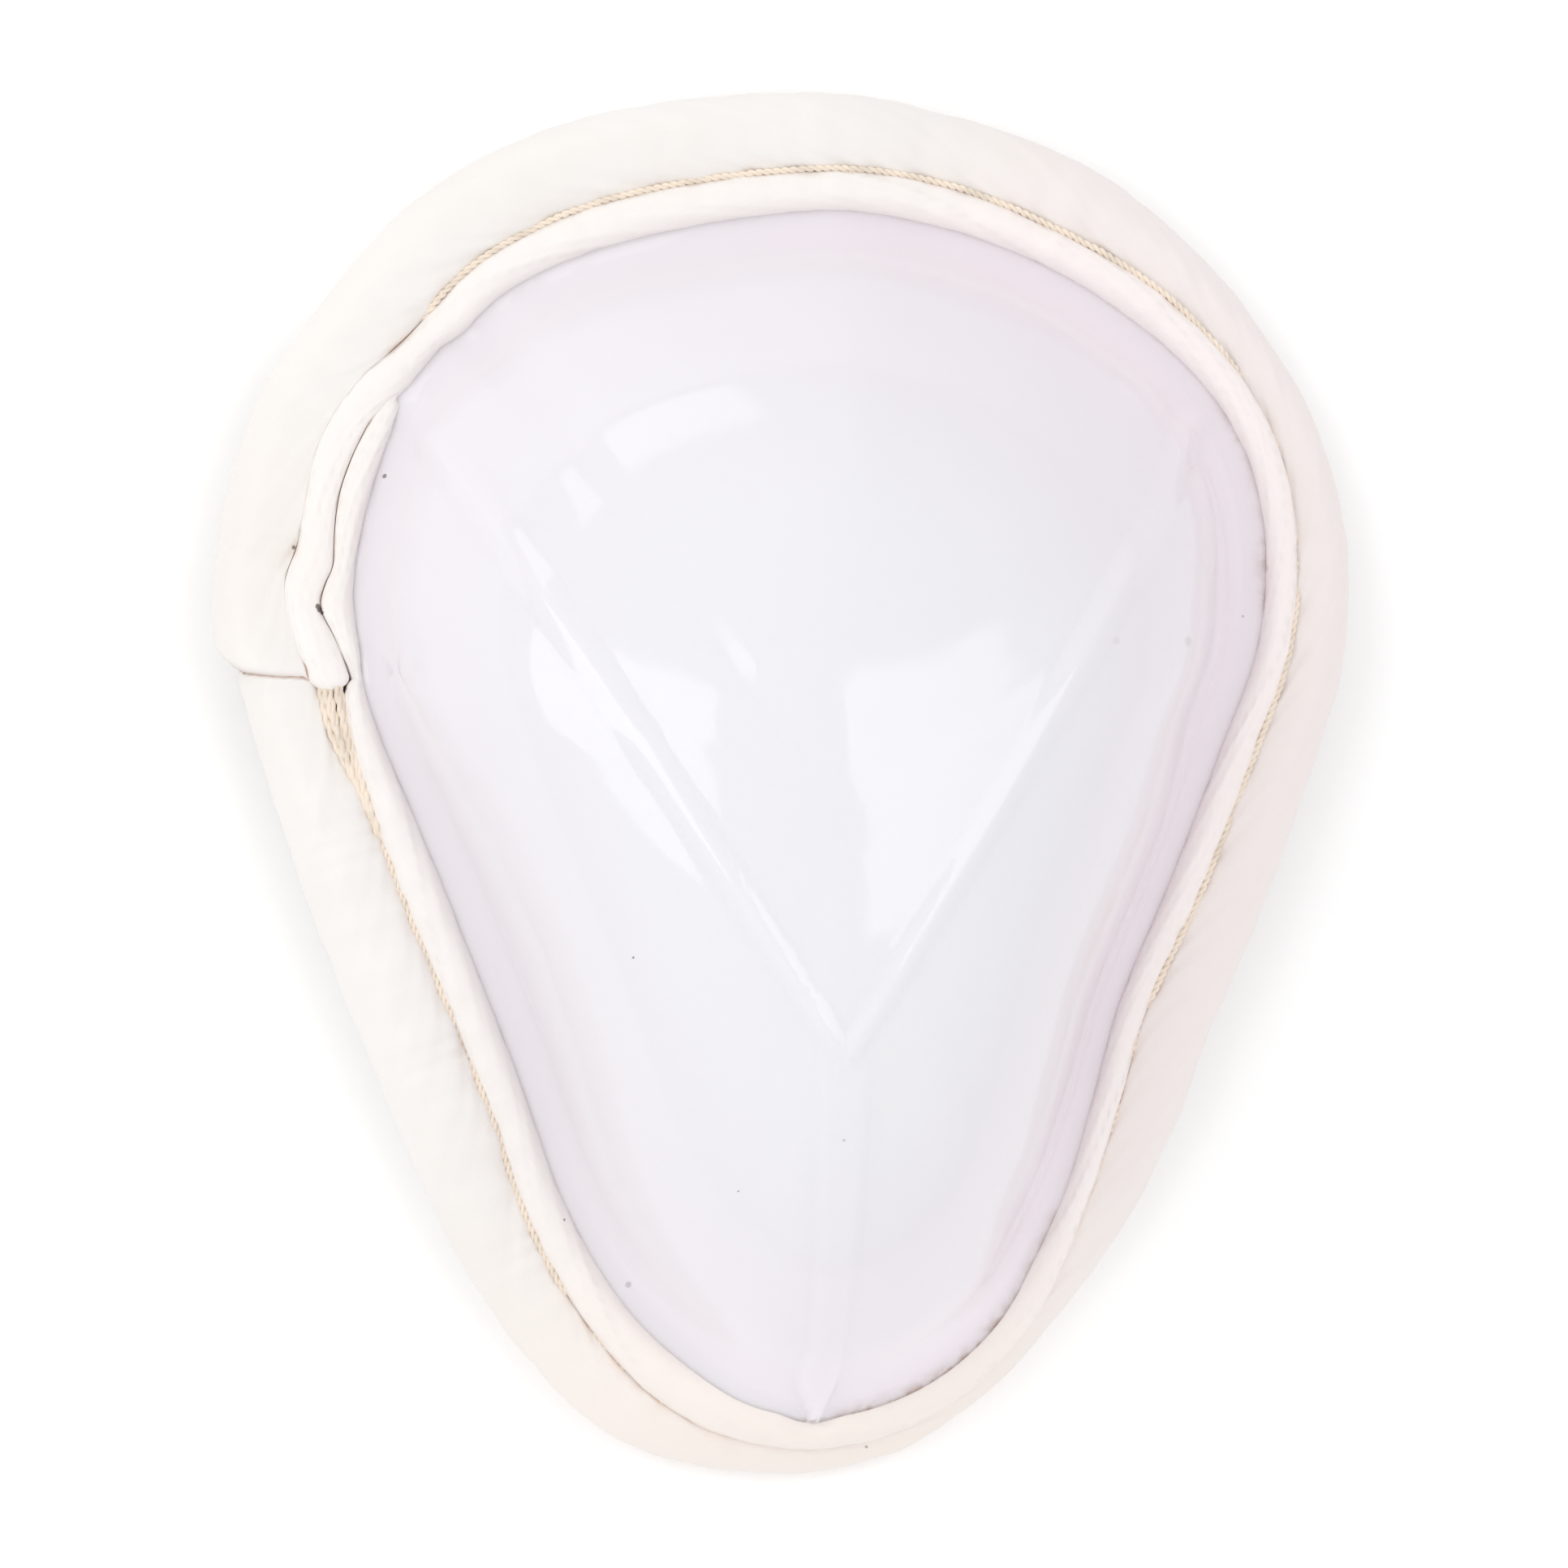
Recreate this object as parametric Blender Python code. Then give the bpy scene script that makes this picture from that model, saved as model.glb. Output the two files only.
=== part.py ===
"""Abdominal guard: a moulded plastic cup with a padded leatherette rim.

X runs across the guard, Y up to the waist and Z out to the front. The guard
lies on its rim on the plane Z = 0, with the origin under its middle.
"""

from collections import namedtuple
from math import ceil, cos, hypot, pi, radians, sin, sqrt, tau

import bpy

# Driving sizes, in metres
STITCH_WIDTH = 0.118  # across the guard, between the two sides of the stitch line
STITCH_LENGTH = 0.1562  # from the waist to the tip of the stitch line
DOME_HEIGHT = 0.045  # crown of the cup above its foot
WALL = 0.0025  # moulded plastic, in the dome and in the flange
FLANGE_REACH = 0.0065  # flange outside the stitch line, gripped by the roll
FOOT_SETBACK = 0.0022  # bare flange between the lip and the foot of the dome
ROLL_WIDTH = 0.0115  # padded roll, from the stitch line out
ROLL_FRONT = 0.0062  # roll in front of the middle of the flange
ROLL_BACK = 0.0066  # roll behind the middle of the flange
BACK_HEM = 0.004  # back of the roll, inside the stitch line
LIP_WIDTH = 0.0056  # rolled lip on the front of the flange
LIP_HEIGHT = 0.004
LAP_STEP = 0.0021  # how far the end of the roll stands over its start
LAP_LENGTH = 0.026  # stretch over which that step fades
RIM_ARCH = 0.006  # sides of the rim above its waist corners and its tip
TIP_DIP = radians(60)  # backward slope of the flange at the tip
REST_FLATTEN = 0.0008  # how much of the padding is pressed flat where it rests
RIB_WIDTH = 0.0034  # the two raised arms on the cup
RIB_HEIGHT = 0.0012
STEM_WIDTH = 0.0054  # the raised stem that joins them, at its lower end
STEM_HEIGHT = 0.0024
GAP = 0.0003  # clearance between neighbouring pieces
STITCH_UP = WALL / 2 + LIP_HEIGHT / 2  # the stitch line's height in front of the flange's middle

# One row for each section of the rim, clockwise from the middle of the waist.
# across and along place the stitch line, as shares of half its width and length.
# roll and lip are shares of ROLL_WIDTH and LIP_WIDTH, dip of TIP_DIP and lift of RIM_ARCH.
Section = namedtuple("Section", "across along roll lip dip lift")
SECTIONS = (
    Section(0.01, 0.992, 0.89, 0.98, 0.1, 0.5),
    Section(0.27, 0.972, 0.81, 1.00, 0.1, 0.3),
    Section(0.52, 0.900, 0.84, 0.90, 0.1, 0.1),
    Section(0.73, 0.805, 0.73, 0.95, 0.2, 0.0),
    Section(0.89, 0.685, 0.61, 0.86, 0.2, 0.1),
    Section(0.98, 0.555, 0.61, 0.80, 0.2, 0.3),
    Section(1.01, 0.405, 0.68, 0.78, 0.2, 0.6),
    Section(0.99, 0.240, 0.69, 0.75, 0.1, 0.9),
    Section(0.92, 0.090, 0.73, 0.78, 0.1, 1.0),
    Section(0.80, -0.140, 0.77, 0.77, 0.1, 1.0),
    Section(0.69, -0.320, 0.81, 0.66, 0.1, 0.9),
    Section(0.63, -0.480, 0.77, 0.66, 0.2, 0.7),
    Section(0.55, -0.650, 0.72, 0.64, 0.5, 0.4),
    Section(0.45, -0.800, 0.70, 0.90, 0.9, 0.1),
    Section(0.33, -0.900, 0.71, 1.00, 1.0, 0.0),
    Section(0.18, -0.967, 0.76, 1.00, 1.0, 0.0),
    Section(0.01, -0.993, 0.82, 0.96, 1.0, 0.0),
    Section(-0.17, -0.975, 0.87, 1.00, 0.9, 0.0),
    Section(-0.33, -0.912, 0.91, 0.92, 0.6, 0.0),
    Section(-0.46, -0.807, 0.90, 0.84, 0.4, 0.2),
    Section(-0.58, -0.655, 0.91, 0.90, 0.2, 0.5),
    Section(-0.68, -0.450, 1.00, 0.90, 0.1, 0.8),
    Section(-0.85, -0.140, 0.98, 0.98, 0.1, 1.0),
    Section(-0.94, 0.060, 0.98, 0.80, 0.1, 1.0),
    Section(-0.98, 0.230, 1.11, 0.64, 0.1, 0.9),
    Section(-0.99, 0.360, 1.12, 0.62, 0.1, 0.6),
    Section(-0.96, 0.490, 1.24, 0.76, 0.1, 0.3),
    Section(-0.89, 0.615, 1.24, 0.80, 0.1, 0.1),
    Section(-0.81, 0.748, 1.00, 0.96, 0.1, 0.0),
    Section(-0.67, 0.856, 0.98, 0.96, 0.1, 0.1),
    Section(-0.41, 0.945, 0.97, 1.05, 0.1, 0.3),
)

# Places along the stitch line, as shares of its length, clockwise from the waist
LAP_EDGE_AT = 0.772  # the end of the roll, lapped over its start; the lip's outer end too
SHIFT_START_AT = 0.728  # the front of the roll starts to give way to the second lip
SHIFT_FULL_AT = 0.765
SHIFT_LAST_AT = 0.835
SHIFT_END_AT = 0.868
LIP_SWAP_AT = 0.832  # the outer end of the lip starts to move on to the inner track
LIP_SWAP_END_AT = 0.852
LIP_INNER_END_AT = 0.846  # the lip's inner end
LIP_SHIFT = 0.0043  # how far the outer end lies outside the stitch line

# The crown of the cup: its middle and the oval that its plan grows round to, as
# shares of the half sizes of the stitch line, and how far each ring of the dome
# lies from that middle towards the foot
CROWN_ALONG_SHARE = -0.02
CROWN_WIDTH_SHARE = 0.84
CROWN_LENGTH_SHARE = 0.90
DOME_RINGS = (0.997, 0.983, 0.95, 0.89, 0.8, 0.68, 0.53, 0.36, 0.18)
CROWN_POWER = 2.2

# Ends of the raised arms and the place where they meet, as shares of the
# half sizes of the stitch line
LEFT_ARM_END = (-0.77, 0.54)
RIGHT_ARM_END = (0.79, 0.60)
FORK = (0.0, -0.38)

RIM_STEP = 0.0046  # longest spacing of the sections along the rim
NEAREST_SECTIONS_SHARE = 0.3  # least distance of two sections, as a share of that spacing
RIB_STATIONS = 18

# Cross-sections, as shares of the sizes that they belong to
ROLL_RADIUS_SHARE = 0.53  # radius of the roll's outer side, of its width
JAW_ANGLE = 0.46  # from the flange up to the front jaw of the roll, in radians
HEM_ANGLE = 1.08  # how far the back of the roll turns in past its lowest point, in radians
LIP_SIDES = 8
RIB_PROFILE = ((-0.5, -1.0), (-0.5, 0.0), (-0.3, 0.72), (0.0, 1.0), (0.3, 0.72), (0.5, 0.0), (0.5, -1.0))
RIB_ROOT_SHARE = 0.4  # how deep the ribs reach into the wall of the cup, of WALL
FOOT_FILLET_SHARE = 0.35  # how far the dome's foot runs out over the flange, of FOOT_SETBACK
NIB_FULL_SHARE = 0.3  # where the lip starts to close in beside the nib, of STEM_WIDTH
NIB_END_SHARE = 1.3  # and where it is whole again
LAP_HOLD_SHARE = 0.3  # stretch over which the lap keeps its full step, of LAP_LENGTH

SHARP_ANGLE = radians(40)
TOLERANCE = 1e-9
PLASTIC_COLOUR = (0.88, 0.87, 0.89)
PLASTIC_ROUGHNESS = 0.18
ROLL_COLOUR = (0.90, 0.87, 0.83)
LIP_COLOUR = (0.91, 0.88, 0.84)
LEATHERETTE_ROUGHNESS = 0.5


def hermite(a, b, slope_a, slope_b, span, share):
    """Cubic from a to b with the given end slopes."""
    s2 = share * share
    s3 = s2 * share
    return (
        a * (2 * s3 - 3 * s2 + 1)
        + slope_a * span * (s3 - 2 * s2 + share)
        + b * (3 * s2 - 2 * s3)
        + slope_b * span * (s3 - s2)
    )


def smooth_step(start, end, value):
    """0 up to start, 1 from end, and an S-shaped ramp between them."""
    share = min(1.0, max(0.0, (value - start) / (end - start)))
    return share * share * (3 - 2 * share)


class Rim:
    """The stitch line and the sizes that vary along it."""

    SAMPLES_PER_SPAN = 40
    SLOPE_STEPS = 2000

    def __init__(self):
        half_width = STITCH_WIDTH / 2
        half_length = STITCH_LENGTH / 2
        self.rows = [
            (row.across * half_width, row.along * half_length) + tuple(row[2:]) for row in SECTIONS
        ]
        count = len(self.rows)
        self.knots = [0.0]
        for index in range(count):
            here = self.rows[index]
            there = self.rows[(index + 1) % count]
            self.knots.append(self.knots[-1] + hypot(there[0] - here[0], there[1] - here[1]))
        self.table = [(0.0, 0.0)]
        last = self.values(0.0)
        travelled = 0.0
        samples = count * self.SAMPLES_PER_SPAN
        for index in range(1, samples + 1):
            chord = self.knots[-1] * index / samples
            here = self.values(chord)
            travelled += hypot(here[0] - last[0], here[1] - last[1])
            self.table.append((travelled, chord))
            last = here
        self.length = travelled

    def slope(self, index, column):
        """Slope of one column at one row, from its two neighbours."""
        count = len(self.rows)
        before = self.rows[(index - 1) % count][column]
        after = self.rows[(index + 1) % count][column]
        start = index % count
        end = start or count
        width_after = self.knots[start + 1] - self.knots[start]
        width_before = self.knots[end] - self.knots[end - 1]
        return (after - before) / (width_after + width_before)

    def values(self, chord):
        """Every column, read at a distance along the rows' chords."""
        count = len(self.rows)
        chord %= self.knots[-1]
        index = max(i for i in range(count) if self.knots[i] <= chord)
        span = self.knots[index + 1] - self.knots[index]
        share = (chord - self.knots[index]) / span
        following = (index + 1) % count
        return tuple(
            hermite(
                self.rows[index][column],
                self.rows[following][column],
                self.slope(index, column),
                self.slope(following, column),
                span,
                share,
            )
            for column in range(len(self.rows[0]))
        )

    def chord_at(self, share):
        """Distance along the chords at a share of the stitch line's length."""
        target = (share % 1.0) * self.length
        low = 0
        high = len(self.table) - 1
        while high - low > 1:
            middle = (low + high) // 2
            if self.table[middle][0] <= target:
                low = middle
            else:
                high = middle
        before, after = self.table[low], self.table[high]
        part = (target - before[0]) / (after[0] - before[0])
        return before[1] + part * (after[1] - before[1])

    def at(self, share):
        """The rim's frame and sizes at a share of the stitch line's length."""
        step = self.length / self.SLOPE_STEPS
        chord = self.chord_at(share)
        x, y, roll, lip, dip, lift = self.values(chord)
        ahead = self.values(chord + step)
        behind = self.values(chord - step)
        run = hypot(ahead[0] - behind[0], ahead[1] - behind[1])
        normal = (-(ahead[1] - behind[1]) / run, (ahead[0] - behind[0]) / run)
        return Station(share, x, y, normal, roll, lip * LIP_WIDTH, dip * TIP_DIP, lift * RIM_ARCH)


class Station:
    """One cross-section of the rim.

    out runs outwards along the flange and up stands square to its front.
    """

    def __init__(self, share, x, y, normal, roll, lip, dip, lift):
        self.share = share % 1.0
        self.x = x
        self.y = y
        self.normal = normal
        self.roll = roll * ROLL_WIDTH
        self.lip = lip
        self.dip = dip
        self.shift = LIP_SHIFT * (
            smooth_step(SHIFT_START_AT, SHIFT_FULL_AT, self.share)
            - smooth_step(SHIFT_LAST_AT, SHIFT_END_AT, self.share)
        )
        self.girth = self.roll - self.shift
        self.swell = 0.0
        self.height = 0.0
        lowest = min(self.local_height(out, up) for out, up in roll_outline(self))
        self.height = lift - REST_FLATTEN - lowest

    def local_height(self, out, up):
        return up * cos(self.dip) - out * sin(self.dip)

    def point(self, out, up):
        """World place of a point of the cross-section."""
        level = out * cos(self.dip) + (up - STITCH_UP) * sin(self.dip)
        height = self.height + self.local_height(out, up)
        return (self.x + self.normal[0] * level, self.y + self.normal[1] * level, height)


def roll_outline(station):
    """Outside of the padded roll, from its front jaw round to its back hem."""
    front_points = 8
    back_points = 6
    width = station.girth + station.swell
    front = ROLL_FRONT * station.girth / ROLL_WIDTH + station.swell / 2
    back = ROLL_BACK * station.girth / ROLL_WIDTH + station.swell / 2
    jaw = station.shift + GAP / 2
    radius = width * ROLL_RADIUS_SHARE
    centre = jaw + width - radius
    start = pi - JAW_ANGLE
    points = []
    for index in range(front_points):
        angle = start * (1 - index / (front_points - 1))
        points.append((centre + radius * cos(angle), front * sin(angle)))
    points[0] = (jaw, points[0][1])
    reach = centre + BACK_HEM
    for index in range(1, back_points):
        angle = (pi / 2 + HEM_ANGLE) * index / (back_points - 1)
        side = radius if angle < pi / 2 else reach / sin(HEM_ANGLE)
        points.append((centre + side * cos(angle), -back * sin(angle)))
    return points


def roll_section(station):
    """Closed outline of the roll, with the slot that grips the flange."""
    points = roll_outline(station)
    slot = WALL / 2 + GAP
    end = flange_reach(station) + GAP
    hem = points[-1][0]
    jaw = points[0][0]
    points += [(hem, -slot), (end, -slot), (end, slot), (jaw, slot)]
    return points[::-1]


def flange_reach(station):
    """Edge of the flange, outside the stitch line."""
    return FLANGE_REACH * station.roll / ROLL_WIDTH


def lip_section(station, inner, outer):
    """Rounded lip between two places along the flange."""
    base = WALL / 2 + GAP
    middle = (inner + outer) / 2
    half = (outer - inner) / 2
    points = []
    for index in range(LIP_SIDES):
        angle = tau * index / LIP_SIDES
        up = LIP_HEIGHT / 2 * sin(angle)
        points.append((middle + half * cos(angle), base + LIP_HEIGHT / 2 + up))
    return points


def ring_mesh(name, rings, closed=False, start_point=None, end_point=None):
    """Mesh skinned over rings of equal size, capped where it doesn't close."""
    size = len(rings[0])
    points = [point for ring in rings for point in ring]
    faces = []
    spans = len(rings) if closed else len(rings) - 1
    for row in range(spans):
        first = row * size
        second = (row + 1) % len(rings) * size
        for index in range(size):
            following = (index + 1) % size
            faces.append((first + index, first + following, second + following, second + index))
    if not closed:
        last = (len(rings) - 1) * size
        for centre, ring_start, turn in ((start_point, 0, -1), (end_point, last, 1)):
            order = [ring_start + index for index in range(size)][::turn]
            if centre is None:
                faces.append(tuple(order))
                continue
            points.append(centre)
            hub = len(points) - 1
            for index in range(size):
                faces.append((order[index], order[(index + 1) % size], hub))
    mesh = bpy.data.meshes.new(name)
    mesh.from_pydata(points, [], faces)
    mesh.update()
    return mesh


def add_object(name, mesh, material=None):
    """Object in the scene, shaded smooth but for its sharp edges."""
    thing = bpy.data.objects.new(name, mesh)
    bpy.context.collection.objects.link(thing)
    mesh.shade_smooth()
    mesh.set_sharp_from_angle(angle=SHARP_ANGLE)
    if material:
        mesh.materials.append(material)
    return thing


def plain_material(name, colour, roughness):
    """Principled material with one colour."""
    material = bpy.data.materials.new(name)
    material.use_nodes = True
    shader = material.node_tree.nodes["Principled BSDF"]
    shader.inputs["Base Color"].default_value = (*colour, 1.0)
    shader.inputs["Roughness"].default_value = roughness
    shader.inputs["Metallic"].default_value = 0.0
    return material


class Cup:
    """Outside and inside of the moulded dome, over the foot of the flange."""

    HALVINGS = 30

    def __init__(self, rim, shares):
        self.rim = rim
        self.stations = [rim.at(share) for share in shares]
        self.middle = (0.0, CROWN_ALONG_SHARE * STITCH_LENGTH / 2)
        self.outer_foot = [self.foot(station, 0.0, WALL / 2) for station in self.stations]
        self.inner_foot = [self.foot(station, WALL, -WALL / 2) for station in self.stations]
        self.outer_base = sum(point[2] for point in self.outer_foot) / len(self.outer_foot)
        self.inner_base = sum(point[2] for point in self.inner_foot) / len(self.inner_foot)
        self.crown = self.outer_base + DOME_HEIGHT

    def foot(self, station, inset, up):
        return station.point(-station.lip - FOOT_SETBACK - inset, up)

    def dome_reach(self, across, along, inset, ring):
        """Share of the way from the middle to a foot, in plan, where a ring of the dome lies."""
        half_width = CROWN_WIDTH_SHARE * STITCH_WIDTH / 2 - inset
        half_length = CROWN_LENGTH_SHARE * STITCH_LENGTH / 2 - inset
        oval = half_width * half_length / hypot(half_length * across, half_width * along)
        return ring * (oval + (1 - oval) * smooth_step(0.0, 1.0, ring))

    def dome_point(self, foot, base, rise, inset, ring):
        """Point of the dome on a ring, over the line from its middle to a foot."""
        across = foot[0] - self.middle[0]
        along = foot[1] - self.middle[1]
        reach = self.dome_reach(across, along, inset, ring)
        level = base + (foot[2] - base) * ring * ring
        height = level + rise * sqrt(1 - ring**CROWN_POWER)
        return (self.middle[0] + across * reach, self.middle[1] + along * reach, height)

    def dome_ring(self, feet, base, rise, inset, ring):
        return [self.dome_point(foot, base, rise, inset, ring) for foot in feet]

    def ring_at(self, across, along, reach):
        """Ring of the outer dome that lies at a share of the way to a foot, in plan."""
        low, high = 0.0, 1.0
        for _ in range(self.HALVINGS):
            middle = (low + high) / 2
            if self.dome_reach(across, along, 0.0, middle) < reach:
                low = middle
            else:
                high = middle
        return (low + high) / 2

    def outer_height(self, x, y):
        """Front of the cup over a point of the ground plan, out to the lip."""
        across = x - self.middle[0]
        along = y - self.middle[1]
        count = len(self.outer_foot)
        for index in range(count):
            foot = self.outer_foot[index]
            following = self.outer_foot[(index + 1) % count]
            ax, ay = foot[0] - self.middle[0], foot[1] - self.middle[1]
            bx, by = following[0] - self.middle[0], following[1] - self.middle[1]
            area = ax * by - ay * bx
            to_first = (across * by - along * bx) / area
            to_second = (ax * along - ay * across) / area
            if to_first >= -TOLERANCE and to_second >= -TOLERANCE:
                reach = to_first + to_second
                part = to_second / reach if reach > TOLERANCE else 0.0
                edge = tuple(a + (b - a) * part for a, b in zip(foot, following))
                out = (edge[0] - self.middle[0], edge[1] - self.middle[1])
                if reach <= 1.0:
                    ring = self.ring_at(*out, reach)
                    return self.dome_point(edge, self.outer_base, DOME_HEIGHT, 0.0, ring)[2]
                beyond = (reach - 1.0) * hypot(*out)
                station = self.stations[index]
                return edge[2] - beyond * sin(station.dip) / cos(station.dip)
        raise ValueError("the point lies outside every sector of the plan")


def section_places():
    """Where every piece has its cross-sections: evenly spaced, and at each named place."""
    brink = GAP / RIM.length
    named = [LAP_EDGE_AT, LAP_EDGE_AT - brink, LIP_INNER_END_AT]
    count = ceil(RIM.length / RIM_STEP)
    near = NEAREST_SECTIONS_SHARE / count
    even = [index / count for index in range(count)]
    return sorted(named + [share for share in even if all(abs(share - other) > near for other in named)])


def build_cup(material):
    """Moulded dome, foot and flange, with the raised arms and stem fused on."""
    cup = Cup(RIM, PLACES)
    rings = []
    for ring in reversed(DOME_RINGS):
        rings.append(cup.dome_ring(cup.outer_foot, cup.outer_base, DOME_HEIGHT, 0.0, ring))
    fillet = FOOT_SETBACK * FOOT_FILLET_SHARE
    rings.append([cup.foot(station, -fillet, WALL / 2) for station in cup.stations])
    rings.append([station.point(0.0, WALL / 2) for station in cup.stations])
    rings.append([station.point(flange_reach(station), WALL / 2) for station in cup.stations])
    rings.append([station.point(flange_reach(station), -WALL / 2) for station in cup.stations])
    rings.append([station.point(-BACK_HEM, -WALL / 2) for station in cup.stations])
    rings.append(cup.inner_foot)
    inner_rise = cup.crown - WALL - cup.inner_base
    for ring in DOME_RINGS:
        rings.append(cup.dome_ring(cup.inner_foot, cup.inner_base, inner_rise, WALL, ring))
    top = (*cup.middle, cup.crown)
    underside = (*cup.middle, cup.crown - WALL)
    shell = add_object("shell", ring_mesh("shell", rings, start_point=top, end_point=underside), material)

    half_width = STITCH_WIDTH / 2
    half_length = STITCH_LENGTH / 2
    left, right, fork = (
        (across * half_width, along * half_length) for across, along in (LEFT_ARM_END, RIGHT_ARM_END, FORK)
    )
    tip_station = RIM.at(TIP_SHARE)
    stem_end = tip_station.point(-tip_station.lip - GAP + nib_room(tip_station.share), WALL / 2)
    past_fork = (fork[0], fork[1] - RIB_WIDTH)
    routes = (
        ("left_arm", left, past_fork, RIB_WIDTH, RIB_HEIGHT, RIB_WIDTH, RIB_HEIGHT),
        ("right_arm", right, past_fork, RIB_WIDTH, RIB_HEIGHT, RIB_WIDTH, RIB_HEIGHT),
        ("stem", fork, stem_end[:2], RIB_WIDTH, RIB_HEIGHT, STEM_WIDTH, STEM_HEIGHT),
    )
    for name, start, end, width, height, end_width, end_height in routes:
        rib = add_object(name, rib_mesh(name, cup, start, end, (width, end_width), (height, end_height)))
        rib.hide_render = True
        rib.display_type = "WIRE"
        union = shell.modifiers.new(name, "BOOLEAN")
        union.operation = "UNION"
        union.solver = "EXACT"
        union.object = rib
    return shell


def cup_tip_share():
    """Place along the rim that lies lowest on the cup's middle line."""
    steps = 400
    near = [index / steps for index in range(steps) if RIM.at(index / steps).y < 0]
    return min(near, key=lambda share: abs(RIM.at(share).x))


def nib_room(share):
    """How far the lip gives way to the end of the stem."""
    away = abs(share - TIP_SHARE) * RIM.length / STEM_WIDTH
    return STEM_HEIGHT * (1 - smooth_step(NIB_FULL_SHARE, NIB_END_SHARE, away))


def rib_mesh(name, cup, start, end, widths, heights):
    """A low rounded bar that follows the front of the cup."""
    run = hypot(end[0] - start[0], end[1] - start[1])
    side = (-(end[1] - start[1]) / run, (end[0] - start[0]) / run)
    root = WALL * RIB_ROOT_SHARE
    rings = []
    for index in range(RIB_STATIONS + 1):
        share = index / RIB_STATIONS
        width = widths[0] + (widths[1] - widths[0]) * share**3
        height = heights[0] + (heights[1] - heights[0]) * share**3
        ring = []
        for across, up in RIB_PROFILE:
            x = start[0] + (end[0] - start[0]) * share + side[0] * across * width
            y = start[1] + (end[1] - start[1]) * share + side[1] * across * width
            lift = up * (height if up > 0 else root)
            ring.append((x, y, cup.outer_height(x, y) + lift))
        rings.append(ring[::-1])
    return ring_mesh(name, rings)


def build_roll(material):
    """Padded roll that grips the edge of the flange all the way round."""
    rings = []
    for share in PLACES:
        station = RIM.at(share)
        past_edge = (share - LAP_EDGE_AT) * RIM.length
        if past_edge >= 0:
            station.swell = LAP_STEP * (1 - smooth_step(LAP_HOLD_SHARE * LAP_LENGTH, LAP_LENGTH, past_edge))
        ring = [station.point(out, up) for out, up in roll_section(station)]
        rings.append([(x, y, max(z, 0.0)) for x, y, z in ring])
    return add_object("padded_roll", ring_mesh("padded_roll", rings, closed=True), material)


def build_lip(material):
    """Rolled lip on the front of the flange, its two ends side by side."""
    outer_end = [share for share in PLACES if share >= LAP_EDGE_AT]
    inner_end = [1.0 + share for share in PLACES if share <= LIP_INNER_END_AT]
    shares = outer_end + inner_end
    rings = []
    for share in shares:
        station = RIM.at(share)
        inner = -station.lip + nib_room(station.share)
        outer = -GAP / 2
        if share < 1.0:
            inside = smooth_step(LIP_SWAP_AT, LIP_SWAP_END_AT, share)
            inner = GAP / 2 - (station.lip + GAP / 2) * inside
            outer = station.shift - GAP / 2
        elif station.share > LIP_SWAP_AT:
            inside = smooth_step(LIP_SWAP_AT, LIP_SWAP_END_AT, station.share)
            outer = -GAP / 2 - station.lip * inside
        rings.append([station.point(out, up) for out, up in lip_section(station, inner, outer)])
    return add_object("inner_lip", ring_mesh("inner_lip", rings), material)


def clear_scene():
    for thing in list(bpy.data.objects):
        bpy.data.objects.remove(thing)


def centre_on_origin(things):
    """Put the middle of the padded roll over the origin."""
    roll = bpy.data.objects["padded_roll"]
    across = [vertex.co.x for vertex in roll.data.vertices]
    along = [vertex.co.y for vertex in roll.data.vertices]
    for thing in things:
        thing.location.x = -(min(across) + max(across)) / 2
        thing.location.y = -(min(along) + max(along)) / 2


clear_scene()
RIM = Rim()
TIP_SHARE = cup_tip_share()
PLACES = section_places()
build_cup(plain_material("milky_plastic", PLASTIC_COLOUR, PLASTIC_ROUGHNESS))
build_roll(plain_material("roll_leatherette", ROLL_COLOUR, LEATHERETTE_ROUGHNESS))
build_lip(plain_material("lip_leatherette", LIP_COLOUR, LEATHERETTE_ROUGHNESS))
centre_on_origin(list(bpy.data.objects))
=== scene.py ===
"""Looks of the abdominal guard: its moulded cup, padded roll, inner lip and sewing thread.

Lengths are in metres. X runs across the guard, Y up to the waist and Z out to the front.
"""

from math import cos, pi, radians, sin

import bpy
import numpy as np
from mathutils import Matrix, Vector


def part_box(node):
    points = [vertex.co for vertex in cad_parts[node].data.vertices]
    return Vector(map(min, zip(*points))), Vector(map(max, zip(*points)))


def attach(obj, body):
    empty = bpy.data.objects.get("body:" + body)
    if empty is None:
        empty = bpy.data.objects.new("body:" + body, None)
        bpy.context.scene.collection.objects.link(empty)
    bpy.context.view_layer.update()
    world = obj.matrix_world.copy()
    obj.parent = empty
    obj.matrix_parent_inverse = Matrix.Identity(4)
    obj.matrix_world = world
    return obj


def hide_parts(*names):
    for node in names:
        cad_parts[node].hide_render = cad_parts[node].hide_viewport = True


bl_info = {
    "name": "Abdominal guard",
    "version": (1, 0, 0),
    "blender": (4, 5, 0),
    "location": "3D View > Sidebar > Guard",
    "description": "Builds the looks of a padded abdominal guard around its solids",
    "category": "Object",
}

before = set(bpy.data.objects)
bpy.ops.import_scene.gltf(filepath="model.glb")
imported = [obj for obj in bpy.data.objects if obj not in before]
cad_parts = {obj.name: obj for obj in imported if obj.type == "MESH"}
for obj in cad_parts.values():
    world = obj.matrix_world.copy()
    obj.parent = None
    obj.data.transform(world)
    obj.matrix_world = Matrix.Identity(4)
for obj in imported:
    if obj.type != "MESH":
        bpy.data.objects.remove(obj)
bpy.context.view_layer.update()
ROLL_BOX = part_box("padded_roll")
BODY = "root"
MM = 0.001

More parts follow.
